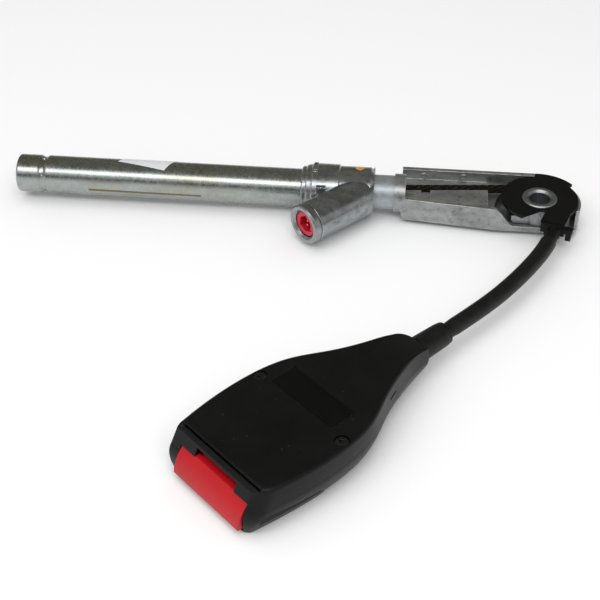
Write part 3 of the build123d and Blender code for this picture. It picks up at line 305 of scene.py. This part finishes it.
# A thick bluish plating, paler and less mirror-like than bare steel.
bright_zinc = worked_steel("blue_zinc_plated_steel", "#9AA1A5", "#B4BABD", 0.4, 1.4, (2, 1, 1), 0.75)
# A thin dark oxide, through which the metal still glints.
black_oxide = worked_steel("black_oxide_steel", "#3A3B3E", "#57595B", 0.3, 0.8, (1, 1, 2))
# Drawn and hardened in oil: dark grey, with a slight gloss.
spring_steel = worked_steel("oil_hardened_spring_wire", "#6E7072", "#8E9092", 0.3, 0.4, (1, 1, 1))
# A flash of gold, smooth and warm.
gilded_contact = worked_steel("gilded_contact_pin", "#C79A3E", "#E3BE68", 0.2, 0.6, (1, 1, 3))
print("made the worked steels, from", turned_steel.name, "to", gilded_contact.name)

# %% [markdown]
# Wire rope is steel with a film of brown grease that holds dark dirt in its valleys. The wires
# themselves are too fine to see here, so the strands are real shapes, made further on, and the grease
# is a pattern: dark and dull where it is thick, and grey and shiny where it is rubbed off.

# %% Greased rope
rope_steel, tree, shader, place = material("greased_wire_rope", Metallic=0.8)
grease = grain(tree, place, 1.1, detail=3)
tree.links.new(ramp(tree, grease, (0.35, "#15120F"), (0.58, "#342C25"), (0.75, "#6B6259")),
               shader.inputs["Base Color"])
tree.links.new(ramp(tree, grease, (0.3, 0.55), (0.7, 0.32)), shader.inputs["Roughness"])
relief(tree, shader, grease, 0.03, 0.5)
print("made", rope_steel.name)

# %% [markdown]
# ## Plastics and rubber
#
# The shells are black ABS from a spark-eroded mould: a fine grain that spreads the light and leaves
# the edges softly grey. The real grain is about 0.15 mm across, which can't be seen from here, so it
# is drawn 0.4 mm across. The button is red acetal, smoother and a little waxy. The disc is
# glass-filled nylon, the dullest of the three. Dust sits on the shells in a few pale specks. The
# grain could be a real relief in the mesh, but at this depth it only changes how the light spreads.

# %% Moulded plastics


def moulded(name, low, high, roughness, grain_mm, depth_mm, specular, dust=None):
    """A moulded plastic with one fine grain, a slow change of tone, softened edges and specks of dust."""
    made, tree, shader, place = material(name, IOR=1.5)
    shader.inputs["Specular IOR Level"].default_value = specular
    slow = grain(tree, place, 22, detail=3)
    fine = grain(tree, place, grain_mm, detail=2)
    tone = ramp(tree, slow, (0.35, low), (0.7, high))
    if dust:
        specks = grain(tree, place, 1.3, detail=1)
        tone = mix(tree, ramp(tree, specks, (0.775, 0.0), (0.795, 1.0)), tone, dust)
    tree.links.new(tone, shader.inputs["Base Color"])
    tree.links.new(ramp(tree, slow, (0.3, roughness), (0.75, roughness + 0.1)), shader.inputs["Roughness"])
    relief(tree, shader, fine, depth_mm, 0.6, soft_edges(tree, 0.45))
    return made


grained_abs = moulded("grained_black_abs", "#0A0A0B", "#101011", 0.34, 0.4, 0.03, 0.2, "#5A5A5A")
black_nylon = moulded("glass_filled_black_nylon", "#070707", "#0B0B0B", 0.42, 0.6, 0.02, 0.2)
red_acetal = moulded("red_acetal_button", "#B01019", "#C0161E", 0.34, 0.5, 0.015, 0.3)
red_insert = moulded("red_polyamide_insert", "#B80F2E", "#CC1B3A", 0.3, 0.5, 0.01, 0.5)
print("made", ", ".join(m.name for m in (grained_abs, black_nylon, red_acetal, red_insert)))

# %% [markdown]
# The sleeve is extruded rubber. Its skin is matt, with a faint grey bloom in soft patches, where wax
# in the rubber has come to the surface. The seals are nitrile, which is duller and a little greyer.

# %% Rubbers
sleeve_rubber, tree, shader, place = material("extruded_black_rubber", IOR=1.5, Roughness=0.5)
shader.inputs["Specular IOR Level"].default_value = 0.3
bloom = grain(tree, place, 5, detail=4)
skin = grain(tree, place, 0.5, detail=3)
tree.links.new(ramp(tree, bloom, (0.4, "#0B0B0B"), (0.75, "#181817")), shader.inputs["Base Color"])
relief(tree, shader, skin, 0.03, 0.7, soft_edges(tree, 0.3))
seal_rubber = moulded("nitrile_seal_rubber", "#151515", "#1D1D1D", 0.55, 0.6, 0.01, 0.4)
print("made", sleeve_rubber.name, "and", seal_rubber.name)

# %% [markdown]
# ## Finish of the ready solids
#
# Each solid now takes its finish. Its mesh stays as it is, because other programs rely on it. The
# table lists the nodes under their finish rather than a finish for each node, so that pieces of one
# material are seen together.

# %% Finish of each node
FINISHES = {
    plated_steel: "pretensioner_tube",
    cast_manifold: "manifold_housing",
    cast_bracket: "channel_bracket",
    turned_steel: "tube_end_plug piston gas_generator generator_retainer rope_deflector rope_ferrule",
    satin_steel: "anchor_bush latch_pin",
    bright_zinc: "neck_tube",
    black_oxide: "shell_screws",
    pressed_steel: "buckle_frame latch",
    spring_steel: "ejector_spring button_springs",
    gilded_contact: "contact_pins",
    rope_steel: "piston_rope channel_rope wrap_rope sleeve_rope tail_rope",
    grained_abs: "upper_shell lower_shell ejector",
    black_nylon: "cover_disc",
    red_acetal: "press_button",
    red_insert: "connector_insert",
    sleeve_rubber: "rubber_sleeve tail_boot",
    seal_rubber: "piston_seal generator_oring"}
finished = 0
for finish, names in FINISHES.items():
    for name in names.split():
        nodes[name].data.materials.clear()
        nodes[name].data.materials.append(finish)
        finished += 1
print("finished", finished, "of", len(nodes), "nodes")

# %% [markdown]
# ## Surfaces from numbers
#
# A surface here is a grid of points. Each row is carried one step further along the piece, and each
# point in a row one step round it. Joining neighbours gives the faces. When a row or a column closes
# on itself, the last one joins the first.
#
# A closed surface faces outward when the tetrahedra between one inner point and its faces have a
# positive volume together, so a surface with a negative one has its faces turned over.

# %% Grid helper
SHARP_ANGLE = math.radians(40)


def grid_faces(rows, columns, loop_rows, loop_columns, capped):
    """Faces that join each grid point to the next in its row and its column."""
    index = np.arange(rows * columns).reshape(rows, columns)
    if loop_rows:
        index = np.vstack([index, index[:1]])
    if loop_columns:
        index = np.hstack([index, index[:, :1]])
    faces = np.stack([index[:-1, :-1], index[:-1, 1:], index[1:, 1:], index[1:, :-1]], axis=-1).reshape(-1, 4)
    faces = faces.tolist()
    if capped:
        ring = np.arange(columns)
        faces += [ring[::-1].tolist(), (ring + (rows - 1) * columns).tolist()]
    return faces


def facing_out(points, faces):
    """The same faces, each turned over where the closed surface that they make has a negative volume."""
    arms = points - points.mean(axis=0)
    volume = 0.0
    for face in faces:
        ring = arms[face]
        volume += np.sum(np.cross(ring[1:-1], ring[2:]) @ ring[0]) / 6
    return faces if volume > 0 else [face[::-1] for face in faces]


def piece(name, grids, finish, body, loop_rows=False, capped=True):
    """One mesh from several grids of points, each of rows by columns by three, whose columns close
    on themselves. A capped tube gets one flat face over each end row."""
    points, faces = [], []
    for grid in grids:
        start = sum(len(p) for p in points)
        rows, columns = grid.shape[:2]
        points.append(grid.reshape(-1, 3))
        closed = facing_out(points[-1], grid_faces(rows, columns, loop_rows, True, capped))
        faces += [[start + v for v in face] for face in closed]
    mesh = bpy.data.meshes.new(name)
    mesh.from_pydata(np.concatenate(points).tolist(), [], faces)
    mesh.validate()
    mesh.polygons.foreach_set("use_smooth", [True] * len(faces))
    mesh.set_sharp_from_angle(angle=SHARP_ANGLE)
    mesh.materials.append(finish)
    made = linked(name, mesh)
    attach(made, body)
    print(name, len(mesh.polygons), "faces")
    return made


def frames_along(path):
    """The two directions across a path at each point: one is level, and the other is square to it."""
    ahead = np.gradient(path, axis=0)
    ahead /= np.linalg.norm(ahead, axis=1)[:, None]
    level = np.cross(ahead, [0.0, 0.0, 1.0])
    level /= np.linalg.norm(level, axis=1)[:, None]
    return level, np.cross(level, ahead)


def tube_points(path, radius, around):
    """Circles carried along a path: each point is the path's, plus the radius times the two directions
    across it, turned by the angle round the tube."""
    level, upright = frames_along(path)
    angle = np.linspace(0, 2 * np.pi, around, endpoint=False)
    radius = np.broadcast_to(radius, (len(path),))[:, None, None]
    angle = angle[None, :, None]
    round_it = np.cos(angle) * level[:, None, :] + np.sin(angle) * upright[:, None, :]
    return path[:, None, :] + radius * round_it


# %% [markdown]
# A cable never has a corner in it. Its route is given by a few points, and a smooth spline is led
# along them. Arcs joined end to end would do as well, but their joints have to be worked out. The
# spline's points are then spread evenly, so that each length of the mesh is as fine as the next.

# %% Smooth line through a route


def smooth_line(route_mm):
    """Points along a NURBS spline whose control points are the route's, given in millimetres."""
    curve = bpy.data.curves.new("route", "CURVE")
    curve.dimensions = "3D"
    curve.resolution_u = 24
    spline = curve.splines.new("NURBS")
    spline.points.add(len(route_mm) - 1)
    weights = np.ones((len(route_mm), 1))
    spline.points.foreach_set("co", np.hstack([np.array(route_mm) * MM, weights]).ravel())
    spline.order_u = 3
    spline.use_endpoint_u = True
    holder = bpy.data.objects.new("route", curve)
    read = bpy.data.meshes.new_from_object(holder)
    line = np.empty(len(read.vertices) * 3)
    read.vertices.foreach_get("co", line)
    bpy.data.objects.remove(holder)
    return line.reshape(-1, 3)


def lengths(path):
    """The distance walked along a path up to each of its points."""
    return np.concatenate([[0], np.cumsum(np.linalg.norm(np.diff(path, axis=0), axis=1))])


def spread_along(path, step_mm):
    """The same line with its points an even step apart."""
    walked = lengths(path)
    even = np.linspace(0, walked[-1], max(2, round(walked[-1] / (step_mm * MM))))
    return np.stack([np.interp(even, walked, path[:, axis]) for axis in range(3)], axis=1)


# %% [markdown]
# ## The wire rope
#
# A rope is six strands laid round a core. Each strand's centre circles the rope's own line at two
# thirds of the rope's radius, once in every 30 mm, and each strand's own radius is a third of the
# rope's, so that neighbours just touch. A bump on a plain tube would be cheaper, but its outline
# would stay smooth. The rope runs along the bracket's channel and then round the bolt. Each of the two
# lengths rides on its own body, and the points of the second stand on the corners of a polygon round
# the bolt, so that the spline between them is close to an arc.

# %% Wire rope
AXIS = 11.0
ROPE_RADIUS = 2.4
WRAP_RADIUS = 14.6
STRANDS = 6
LAY = 30 * MM
ROPE_STEP = 1.2
WIRE_SIDES = 8
EXIT_PLACE = (13.72, -4.99)
EXIT_WAY = (-0.342, -0.9397)
WRAP_START, WRAP_END, WRAP_CORNERS = 95.4, -20.0, 4
WRAP_LEAD = 1.2
WRAP_STOP = 30.7


def strands(path):
    """One tube per strand: the strand's centre is the path's point plus two thirds of the rope's
    radius, turned once round in each lay."""
    level, upright = frames_along(path)
    turn = 2 * np.pi * lengths(path) / LAY
    grids = []
    for start in np.arange(STRANDS) * 2 * np.pi / STRANDS:
        angle = (turn + start)[:, None]
        centre = path + 2 / 3 * ROPE_RADIUS * MM * (np.cos(angle) * level + np.sin(angle) * upright)
        grids.append(tube_points(centre, ROPE_RADIUS * MM / 3, WIRE_SIDES))
    return grids


def at_exit(distance):
    """A point on the rope's way out of the disc, in millimetres."""
    return (EXIT_PLACE[0] + EXIT_WAY[0] * distance, EXIT_PLACE[1] + EXIT_WAY[1] * distance, AXIS)


def on_bolt(angle, radius):
    """A point beside the bolt at an angle in degrees and a radius in millimetres."""
    return (radius * math.cos(math.radians(angle)), radius * math.sin(math.radians(angle)), AXIS)


turn_step = (WRAP_START - WRAP_END) / WRAP_CORNERS
corner_radius = WRAP_RADIUS / math.cos(math.radians(turn_step / 2))
wrap_route = [on_bolt(WRAP_START - WRAP_LEAD, WRAP_RADIUS)]
wrap_route += [on_bolt(WRAP_START - (k + 0.5) * turn_step, corner_radius) for k in range(WRAP_CORNERS)]
wrap_route.append(at_exit(WRAP_STOP))
channel_route = [(-115.0, 3.8, AXIS), (-58.2, 9.2, AXIS), on_bolt(WRAP_START, WRAP_RADIUS)]
for name, route, body in (("channel_rope", channel_route, "base"), ("wrap_rope", wrap_route, "stalk")):
    rope_grids = strands(spread_along(smooth_line(route), ROPE_STEP))
    rope = piece(name + "_strands", rope_grids, rope_steel, body)
    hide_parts(name)

# %% [markdown]
# ## The sleeved cable
#
# The rope leaves the disc through a rubber sleeve and runs to the buckle in one lazy bend. It is
# stiff, so it holds its bend by itself. The sleeve is a thick-walled tube: its rows run along the
# outside and back along the bore, which closes both ends. It thins a little where it enters the
# buckle's boot. When the tensioner pulls the buckle in, the cable between them gets shorter, and the
# real sleeve folds up like a bellows.

# %% Sleeve
SLEEVE_RADIUS = 4.3
SLEEVE_BORE = 2.75
SLEEVE_STEP = 1.5
SLEEVE_SIDES = 36
BOOT_DEPTH, END_TAPER, END_THINNING = 4.0, 5.0, 0.4
MOUTH = (-144.1, -211.1)
ALONG = (0.6833, 0.7302)
ACROSS = (-0.7302, 0.6833)


def at_buckle(distance, side=0.0, height=AXIS):
    """A point in the buckle's own plan: so far from its mouth, and so far to its left."""
    x, y = (MOUTH[k] + ALONG[k] * distance + ACROSS[k] * side for k in (0, 1))
    return (x, y, height)


sleeve_route = [at_exit(31), at_exit(40), (-13.5, -66.0, AXIS), at_buckle(165), at_buckle(135)]
sleeve_line = spread_along(smooth_line(sleeve_route), SLEEVE_STEP)
sleeve_length = lengths(sleeve_line)[-1]
to_boot = (sleeve_length - lengths(sleeve_line)) / MM
thinned = SLEEVE_RADIUS - END_THINNING * np.clip(1 - (to_boot - BOOT_DEPTH) / END_TAPER, 0, 1)
outer = tube_points(sleeve_line, thinned * MM, SLEEVE_SIDES)
inner = tube_points(sleeve_line, SLEEVE_BORE * MM, SLEEVE_SIDES)
sleeve = piece("sleeve", [np.concatenate([outer, inner[::-1]])], sleeve_rubber, "stalk",
               loop_rows=True, capped=False)
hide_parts("rubber_sleeve")
core = piece("sleeve_rope_strands", strands(sleeve_line), rope_steel, "stalk")
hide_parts("sleeve_rope")
print("sleeve length in mm", round(sleeve_length / MM, 1))
for made in (sleeve, core):
    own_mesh(made)

# %% [markdown]
# ## The springs
#
# Two small springs push the button out and one pushes the tongue out. A spring is one wire carried
# round a helix: the angle and the distance along grow together. A Screw modifier could turn a circle
# into the same shape, but a formula gives both ends exactly.

# %% Springs
COIL_RADIUS = 1.3
WIRE_RADIUS = 0.35
TURNS = 7
POINTS_PER_TURN = 20


def coil(start, stop, side, height):
    """A helix between two distances along the buckle: along the axis in step with the angle, and out
    from the axis by the coil's radius."""
    share = np.linspace(0, 1, TURNS * POINTS_PER_TURN)[:, None]
    ends = (start + WIRE_RADIUS, stop - WIRE_RADIUS)
    first, last = (np.array(at_buckle(distance, side, height)) for distance in ends)
    across, up = np.array([*ACROSS, 0.0]), np.array([0.0, 0.0, 1.0])
    angle = 2 * np.pi * TURNS * share
    line = first + (last - first) * share + COIL_RADIUS * (np.cos(angle) * across + np.sin(angle) * up)
    return tube_points(line * MM, WIRE_RADIUS * MM, WIRE_SIDES)


SPRINGS = (("button_springs", [(44, 60, -20.7, 7.4), (44, 60, 20.7, 7.4)], "button_press", 60, 0.62),
           ("ejector_spring", [(48, 64.4, 0, 15.85)], "ejector_slide", 64.4, 0.27))
for node, coils, joint, end, keep in SPRINGS:
    made = piece(node + "_wire", [coil(*c) for c in coils], spring_steel, "head")
    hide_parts(node)
    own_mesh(made)

# %% [markdown]
# ## Things stuck on the metal
#
# A blank paper label and a strip of clear film, yellowed at its top edge, are wrapped on the tube. Each
# follows the round surface: a point is given by its distance along the tube and its angle from the
# top, and stands off by the sheet's thickness. A flat sheet could be pressed on with a Shrinkwrap
# modifier instead, but on a cylinder the formula is shorter and exact.

# %% Wrapped sheets
TUBE_Y = 3.8
TUBE_RADIUS = 10.5
GLUE = 0.02
PAPER_THICKNESS, FILM_THICKNESS = 0.1, 0.05
YELLOW_FROM, YELLOW_TO = 8.1, 8.4
SHEET_COLUMNS = 30


def on_tube(along_mm, angle_degrees, radius_mm):
    """A point on a cylinder round the tube's axis: radius times the sine and cosine of the angle."""
    angle = np.radians(angle_degrees)
    y, z = TUBE_Y + radius_mm * np.sin(angle), AXIS + radius_mm * np.cos(angle)
    return np.stack([along_mm + 0 * angle, y, z], axis=-1) * MM


def wrapped_sheet(corner, first_side, second_side, thickness_mm, rows=30):
    """A thin closed sheet on the tube: a corner plus shares of two sides, each side given as a length
    along the tube and degrees round it. The top face and the underside share their rim."""
    down, over = np.meshgrid(np.linspace(0, 1, rows), np.linspace(0, 1, SHEET_COLUMNS), indexing="ij")
    along = corner[0] + down * first_side[0] + over * second_side[0]
    angle = corner[1] + down * first_side[1] + over * second_side[1]
    top = on_tube(along, angle, TUBE_RADIUS + GLUE + thickness_mm)
    under = on_tube(along, angle, TUBE_RADIUS + GLUE)
    return [np.concatenate([top, under[:, ::-1]], axis=1)]


# Coated paper: a pale, even white with a dull sheen, and fibres that only just show.
paper, tree, shader, place = material("coated_paper_label", Roughness=0.5, IOR=1.5)
fibres = grain(tree, place, 0.6, (3, 1, 1), detail=4)
tree.links.new(ramp(tree, fibres, (0.3, "#C6C8CA"), (0.7, "#DDDEDE")), shader.inputs["Base Color"])
# Clear film on plated steel: the metal shows through, greyer, and the glue has yellowed above 8 mm.
film, tree, shader, place = material("yellowed_clear_film", Roughness=0.3, Metallic=0.6)
streaks = grain(tree, place, 2.5, (8, 1, 1), detail=3)
clear = ramp(tree, streaks, (0.3, "#8F9190"), (0.7, "#A7A8A5"))
yellowed = height_band(tree, place, 2, YELLOW_FROM, YELLOW_TO)
tree.links.new(mix(tree, yellowed, clear, "#6E6A40"), shader.inputs["Base Color"])
paper_grids = wrapped_sheet((-205.9, -25.5), (-26.5, 28.0), (6.8, 68.0), PAPER_THICKNESS)
piece("tube_label", paper_grids, paper, "base")
film_grids = wrapped_sheet((-248.0, -97.5), (63.0, -2.0), (0.0, -34.0), FILM_THICKNESS, rows=50)
piece("film_strip", film_grids, film, "base")

# %% [markdown]
# The pins that push the bracket out of its die leave two low round marks on its far wall. They are
# too slight for the solid, and a bump would lose their bright rims. So each is a low disc with a
# rounded rim, made of circles that grow from a closed middle and sink just into the wall.

# %% Ejector marks
MARKS, MARK_WALL_Y, PIN_RADIUS = ((-62.7, 11.5), (-40.9, 12.0)), 20.8, 2.1
CLOSED_MIDDLE = 0.001
turn = np.linspace(0, 2 * np.pi, 32, endpoint=False)[None, :]
share = np.array([CLOSED_MIDDLE, 0.6, 0.82, 1.0])[:, None]
stands_off = np.array([0.45, 0.45, 0.35, -0.05])[:, None]
pins = [np.stack([x + PIN_RADIUS * share * np.cos(turn), MARK_WALL_Y - stands_off + 0 * turn,
                  z + PIN_RADIUS * share * np.sin(turn)], axis=-1) * MM for x, z in MARKS]
piece("ejector_marks", pins, cast_bracket, "base")

# %% [markdown]
# A dark label is stuck across the buckle, a little smoother than the grained shell round it. Its
# outline is a rectangle with small round corners: the sine and cosine of a circle, raised to a low
# power, are pushed out towards the sides of a square. A Bevel modifier on a box would round it too,
# but this outline closes into one thin plate with no modifier to carry along.

# %% Blank label on the buckle
LABEL_ALONG, LABEL_ACROSS, LABEL_LOW, LABEL_THICKNESS = (46.1, 59.4), (-18.2, 19.6), 21.5, 0.1
CORNER_POWER = 0.16
label_film = moulded("satin_black_polyester_label", "#080808", "#0C0C0C", 0.4, 0.8, 0.01, 0.12)
turn = np.linspace(0, 2 * np.pi, 96, endpoint=False)
rounded_cos = np.sign(np.cos(turn)) * np.abs(np.cos(turn)) ** CORNER_POWER
rounded_sin = np.sign(np.sin(turn)) * np.abs(np.sin(turn)) ** CORNER_POWER
middle_along, middle_across = np.mean(LABEL_ALONG), np.mean(LABEL_ACROSS)
rings = []
profile = ((CLOSED_MIDDLE, LABEL_THICKNESS), (1.0, LABEL_THICKNESS), (1.0, 0.0), (CLOSED_MIDDLE, 0.0))
for share, height in profile:
    distance = middle_along + share * np.ptp(LABEL_ALONG) / 2 * rounded_cos
    side = middle_across + share * np.ptp(LABEL_ACROSS) / 2 * rounded_sin
    rings.append(np.stack(at_buckle(distance, side, LABEL_LOW + height + 0 * side), axis=-1) * MM)
piece("housing_label", [np.stack(rings)], label_film, "head")

# %% [markdown]
# An inspector's dab of orange paint marks the manifold. A brush leaves an uneven round spot that is
# thickest in the middle, so the rim's radius wavers with two sine waves, and the height falls away
# with the square of the distance from the middle. A painted pattern in the metal's finish could give
# the colour, but not the soft edge that stands on the metal.

# %% Paint mark
PAINT_THICKNESS, PAINT_SINK = 0.2, 0.05
WAVER, RIPPLE = 0.12, 0.07
paint, tree, shader, place = material("orange_paint_mark", Roughness=0.45, IOR=1.5)
brushed = grain(tree, place, 1.0, detail=2)
tree.links.new(ramp(tree, brushed, (0.35, "#C07A14"), (0.65, "#E09C24")), shader.inputs["Base Color"])
MARK_ALONG, MARK_ANGLE, MARK_SURFACE, MARK_RADIUS = -98.2, 14.0, 13.2, 2.9
outward = np.array([1.0, 0.72, 0.3, 0.04])[:, None]
round_mark = np.linspace(0, 2 * np.pi, 28, endpoint=False)[None, :]
wavy = MARK_RADIUS * (1 + WAVER * np.sin(3 * round_mark) + RIPPLE * np.cos(5 * round_mark))
mark_along = MARK_ALONG + outward * wavy * np.cos(round_mark)
mark_angle = MARK_ANGLE + np.degrees(outward * wavy * np.sin(round_mark) / MARK_SURFACE)
mark_height = MARK_SURFACE - PAINT_SINK + PAINT_THICKNESS * (1 - outward ** 2)
piece("paint_mark", [on_tube(mark_along, mark_angle, mark_height)], paint, "base")

# %% [markdown]
# ## Floor, lamps and surroundings
#
# The part lies on a white table, so large that its edge is outside the camera's picture. A backdrop
# curved up behind would hide the edge too, but it would also show in the metal.

# %% Floor
FLOOR_SIZE = 8.0
floor_level = cad_box[0][2]
corner = FLOOR_SIZE / 2
mesh = bpy.data.meshes.new("floor")
mesh.from_pydata([(x, y, floor_level) for x, y in ((-corner, -corner), (corner, -corner), (corner, corner),
                                                   (-corner, corner))], [], [(0, 1, 2, 3)])
floor = linked("floor", mesh)
floor_white, _, shader, _ = material("white_table", Roughness=0.9)
shader.inputs["Base Color"].default_value = srgb("#F6F6F6")
mesh.materials.append(floor_white)
print("floor at", round(floor_level / MM, 2), "mm")

# %% [markdown]
# A long soft lamp stands in front and above, and gives the tube its one bright line. A second lamp
# overhead lightens the shadows. It is kept out of the mirrors, or the tube would show two lines.

# %% Lamps


def lamp(name, place, target, size, power, mirrored=True):
    """A soft rectangular lamp, with its width and depth in metres, aimed at a target."""
    data = bpy.data.lights.new(name, "AREA")
    data.shape = "RECTANGLE"
    data.size, data.size_y = size
    data.energy = power
    made = linked(name, data)
    made.visible_glossy = mirrored
    aim(made, place, target)
    print(name, power, "W")


MIDDLE = (-0.15, -0.08, 0)
lamp("front_lamp", (-0.25, -0.80, 1.10), MIDDLE, (1.8, 0.40), 9)
lamp("overhead_lamp", (-0.15, -0.10, 1.4), MIDDLE, (0.9, 0.9), 4, mirrored=False)

# %% [markdown]
# Metal and black plastic show little but what they mirror. The world is an even white, and a dark
# canopy curves over the back, out of sight, as a studio's black cloth does: it gives the tube its
# dark upper band, and keeps the black shells black. A narrow strip in front gives the tube a soft
# dark line below the bright one. Only mirrors see the cloths, so the table stays as bright as it is.

# %% Surroundings
CLOTH_RADIUS, CLOTH_HALF_WIDTH = 1.5, 2.6
WORLD_STRENGTH = 0.6
world = bpy.data.worlds.new("studio")
world.use_nodes = True
world.node_tree.nodes["Background"].inputs["Color"].default_value = srgb("#FFFFFF")
world.node_tree.nodes["Background"].inputs["Strength"].default_value = WORLD_STRENGTH
bpy.context.scene.world = world
bpy.context.scene.view_settings.view_transform = "Standard"


def canopy(name, first_angle, last_angle, tone):
    """A dark cloth bent round the x axis: its height and depth are the radius times the sine and the
    cosine of an angle, which is 0 at the back horizon, 90 overhead and 180 in front. Only mirrors
    show it, and it throws no shadow."""
    angle = np.radians(np.linspace(first_angle, last_angle, 40))[:, None]
    x = np.linspace(-CLOTH_HALF_WIDTH, CLOTH_HALF_WIDTH, 12)[None, :]
    y, z = 0 * x + CLOTH_RADIUS * np.cos(angle), 0 * x + CLOTH_RADIUS * np.sin(angle)
    points = np.stack([x + 0 * angle, y, z], axis=-1)
    mesh = bpy.data.meshes.new(name)
    faces = grid_faces(*points.shape[:2], False, False, False)
    mesh.from_pydata(points.reshape(-1, 3).tolist(), [], faces)
    made = linked(name, mesh)
    cloth, _, shader, _ = material(name + "_cloth", Roughness=1.0)
    shader.inputs["Base Color"].default_value = srgb(tone)
    shader.inputs["Specular IOR Level"].default_value = 0.0
    mesh.materials.append(cloth)
    made.visible_camera = False
    made.visible_diffuse = False
    made.visible_shadow = False
    print(name, len(mesh.polygons), "faces")


canopy("back_canopy", 0, 112, "#86847A")
canopy("front_strip", 153, 167, "#2C3638")

# %% [markdown]
# The dressed part has to stay inside the solids' box, because that is the box that other programs
# were told.
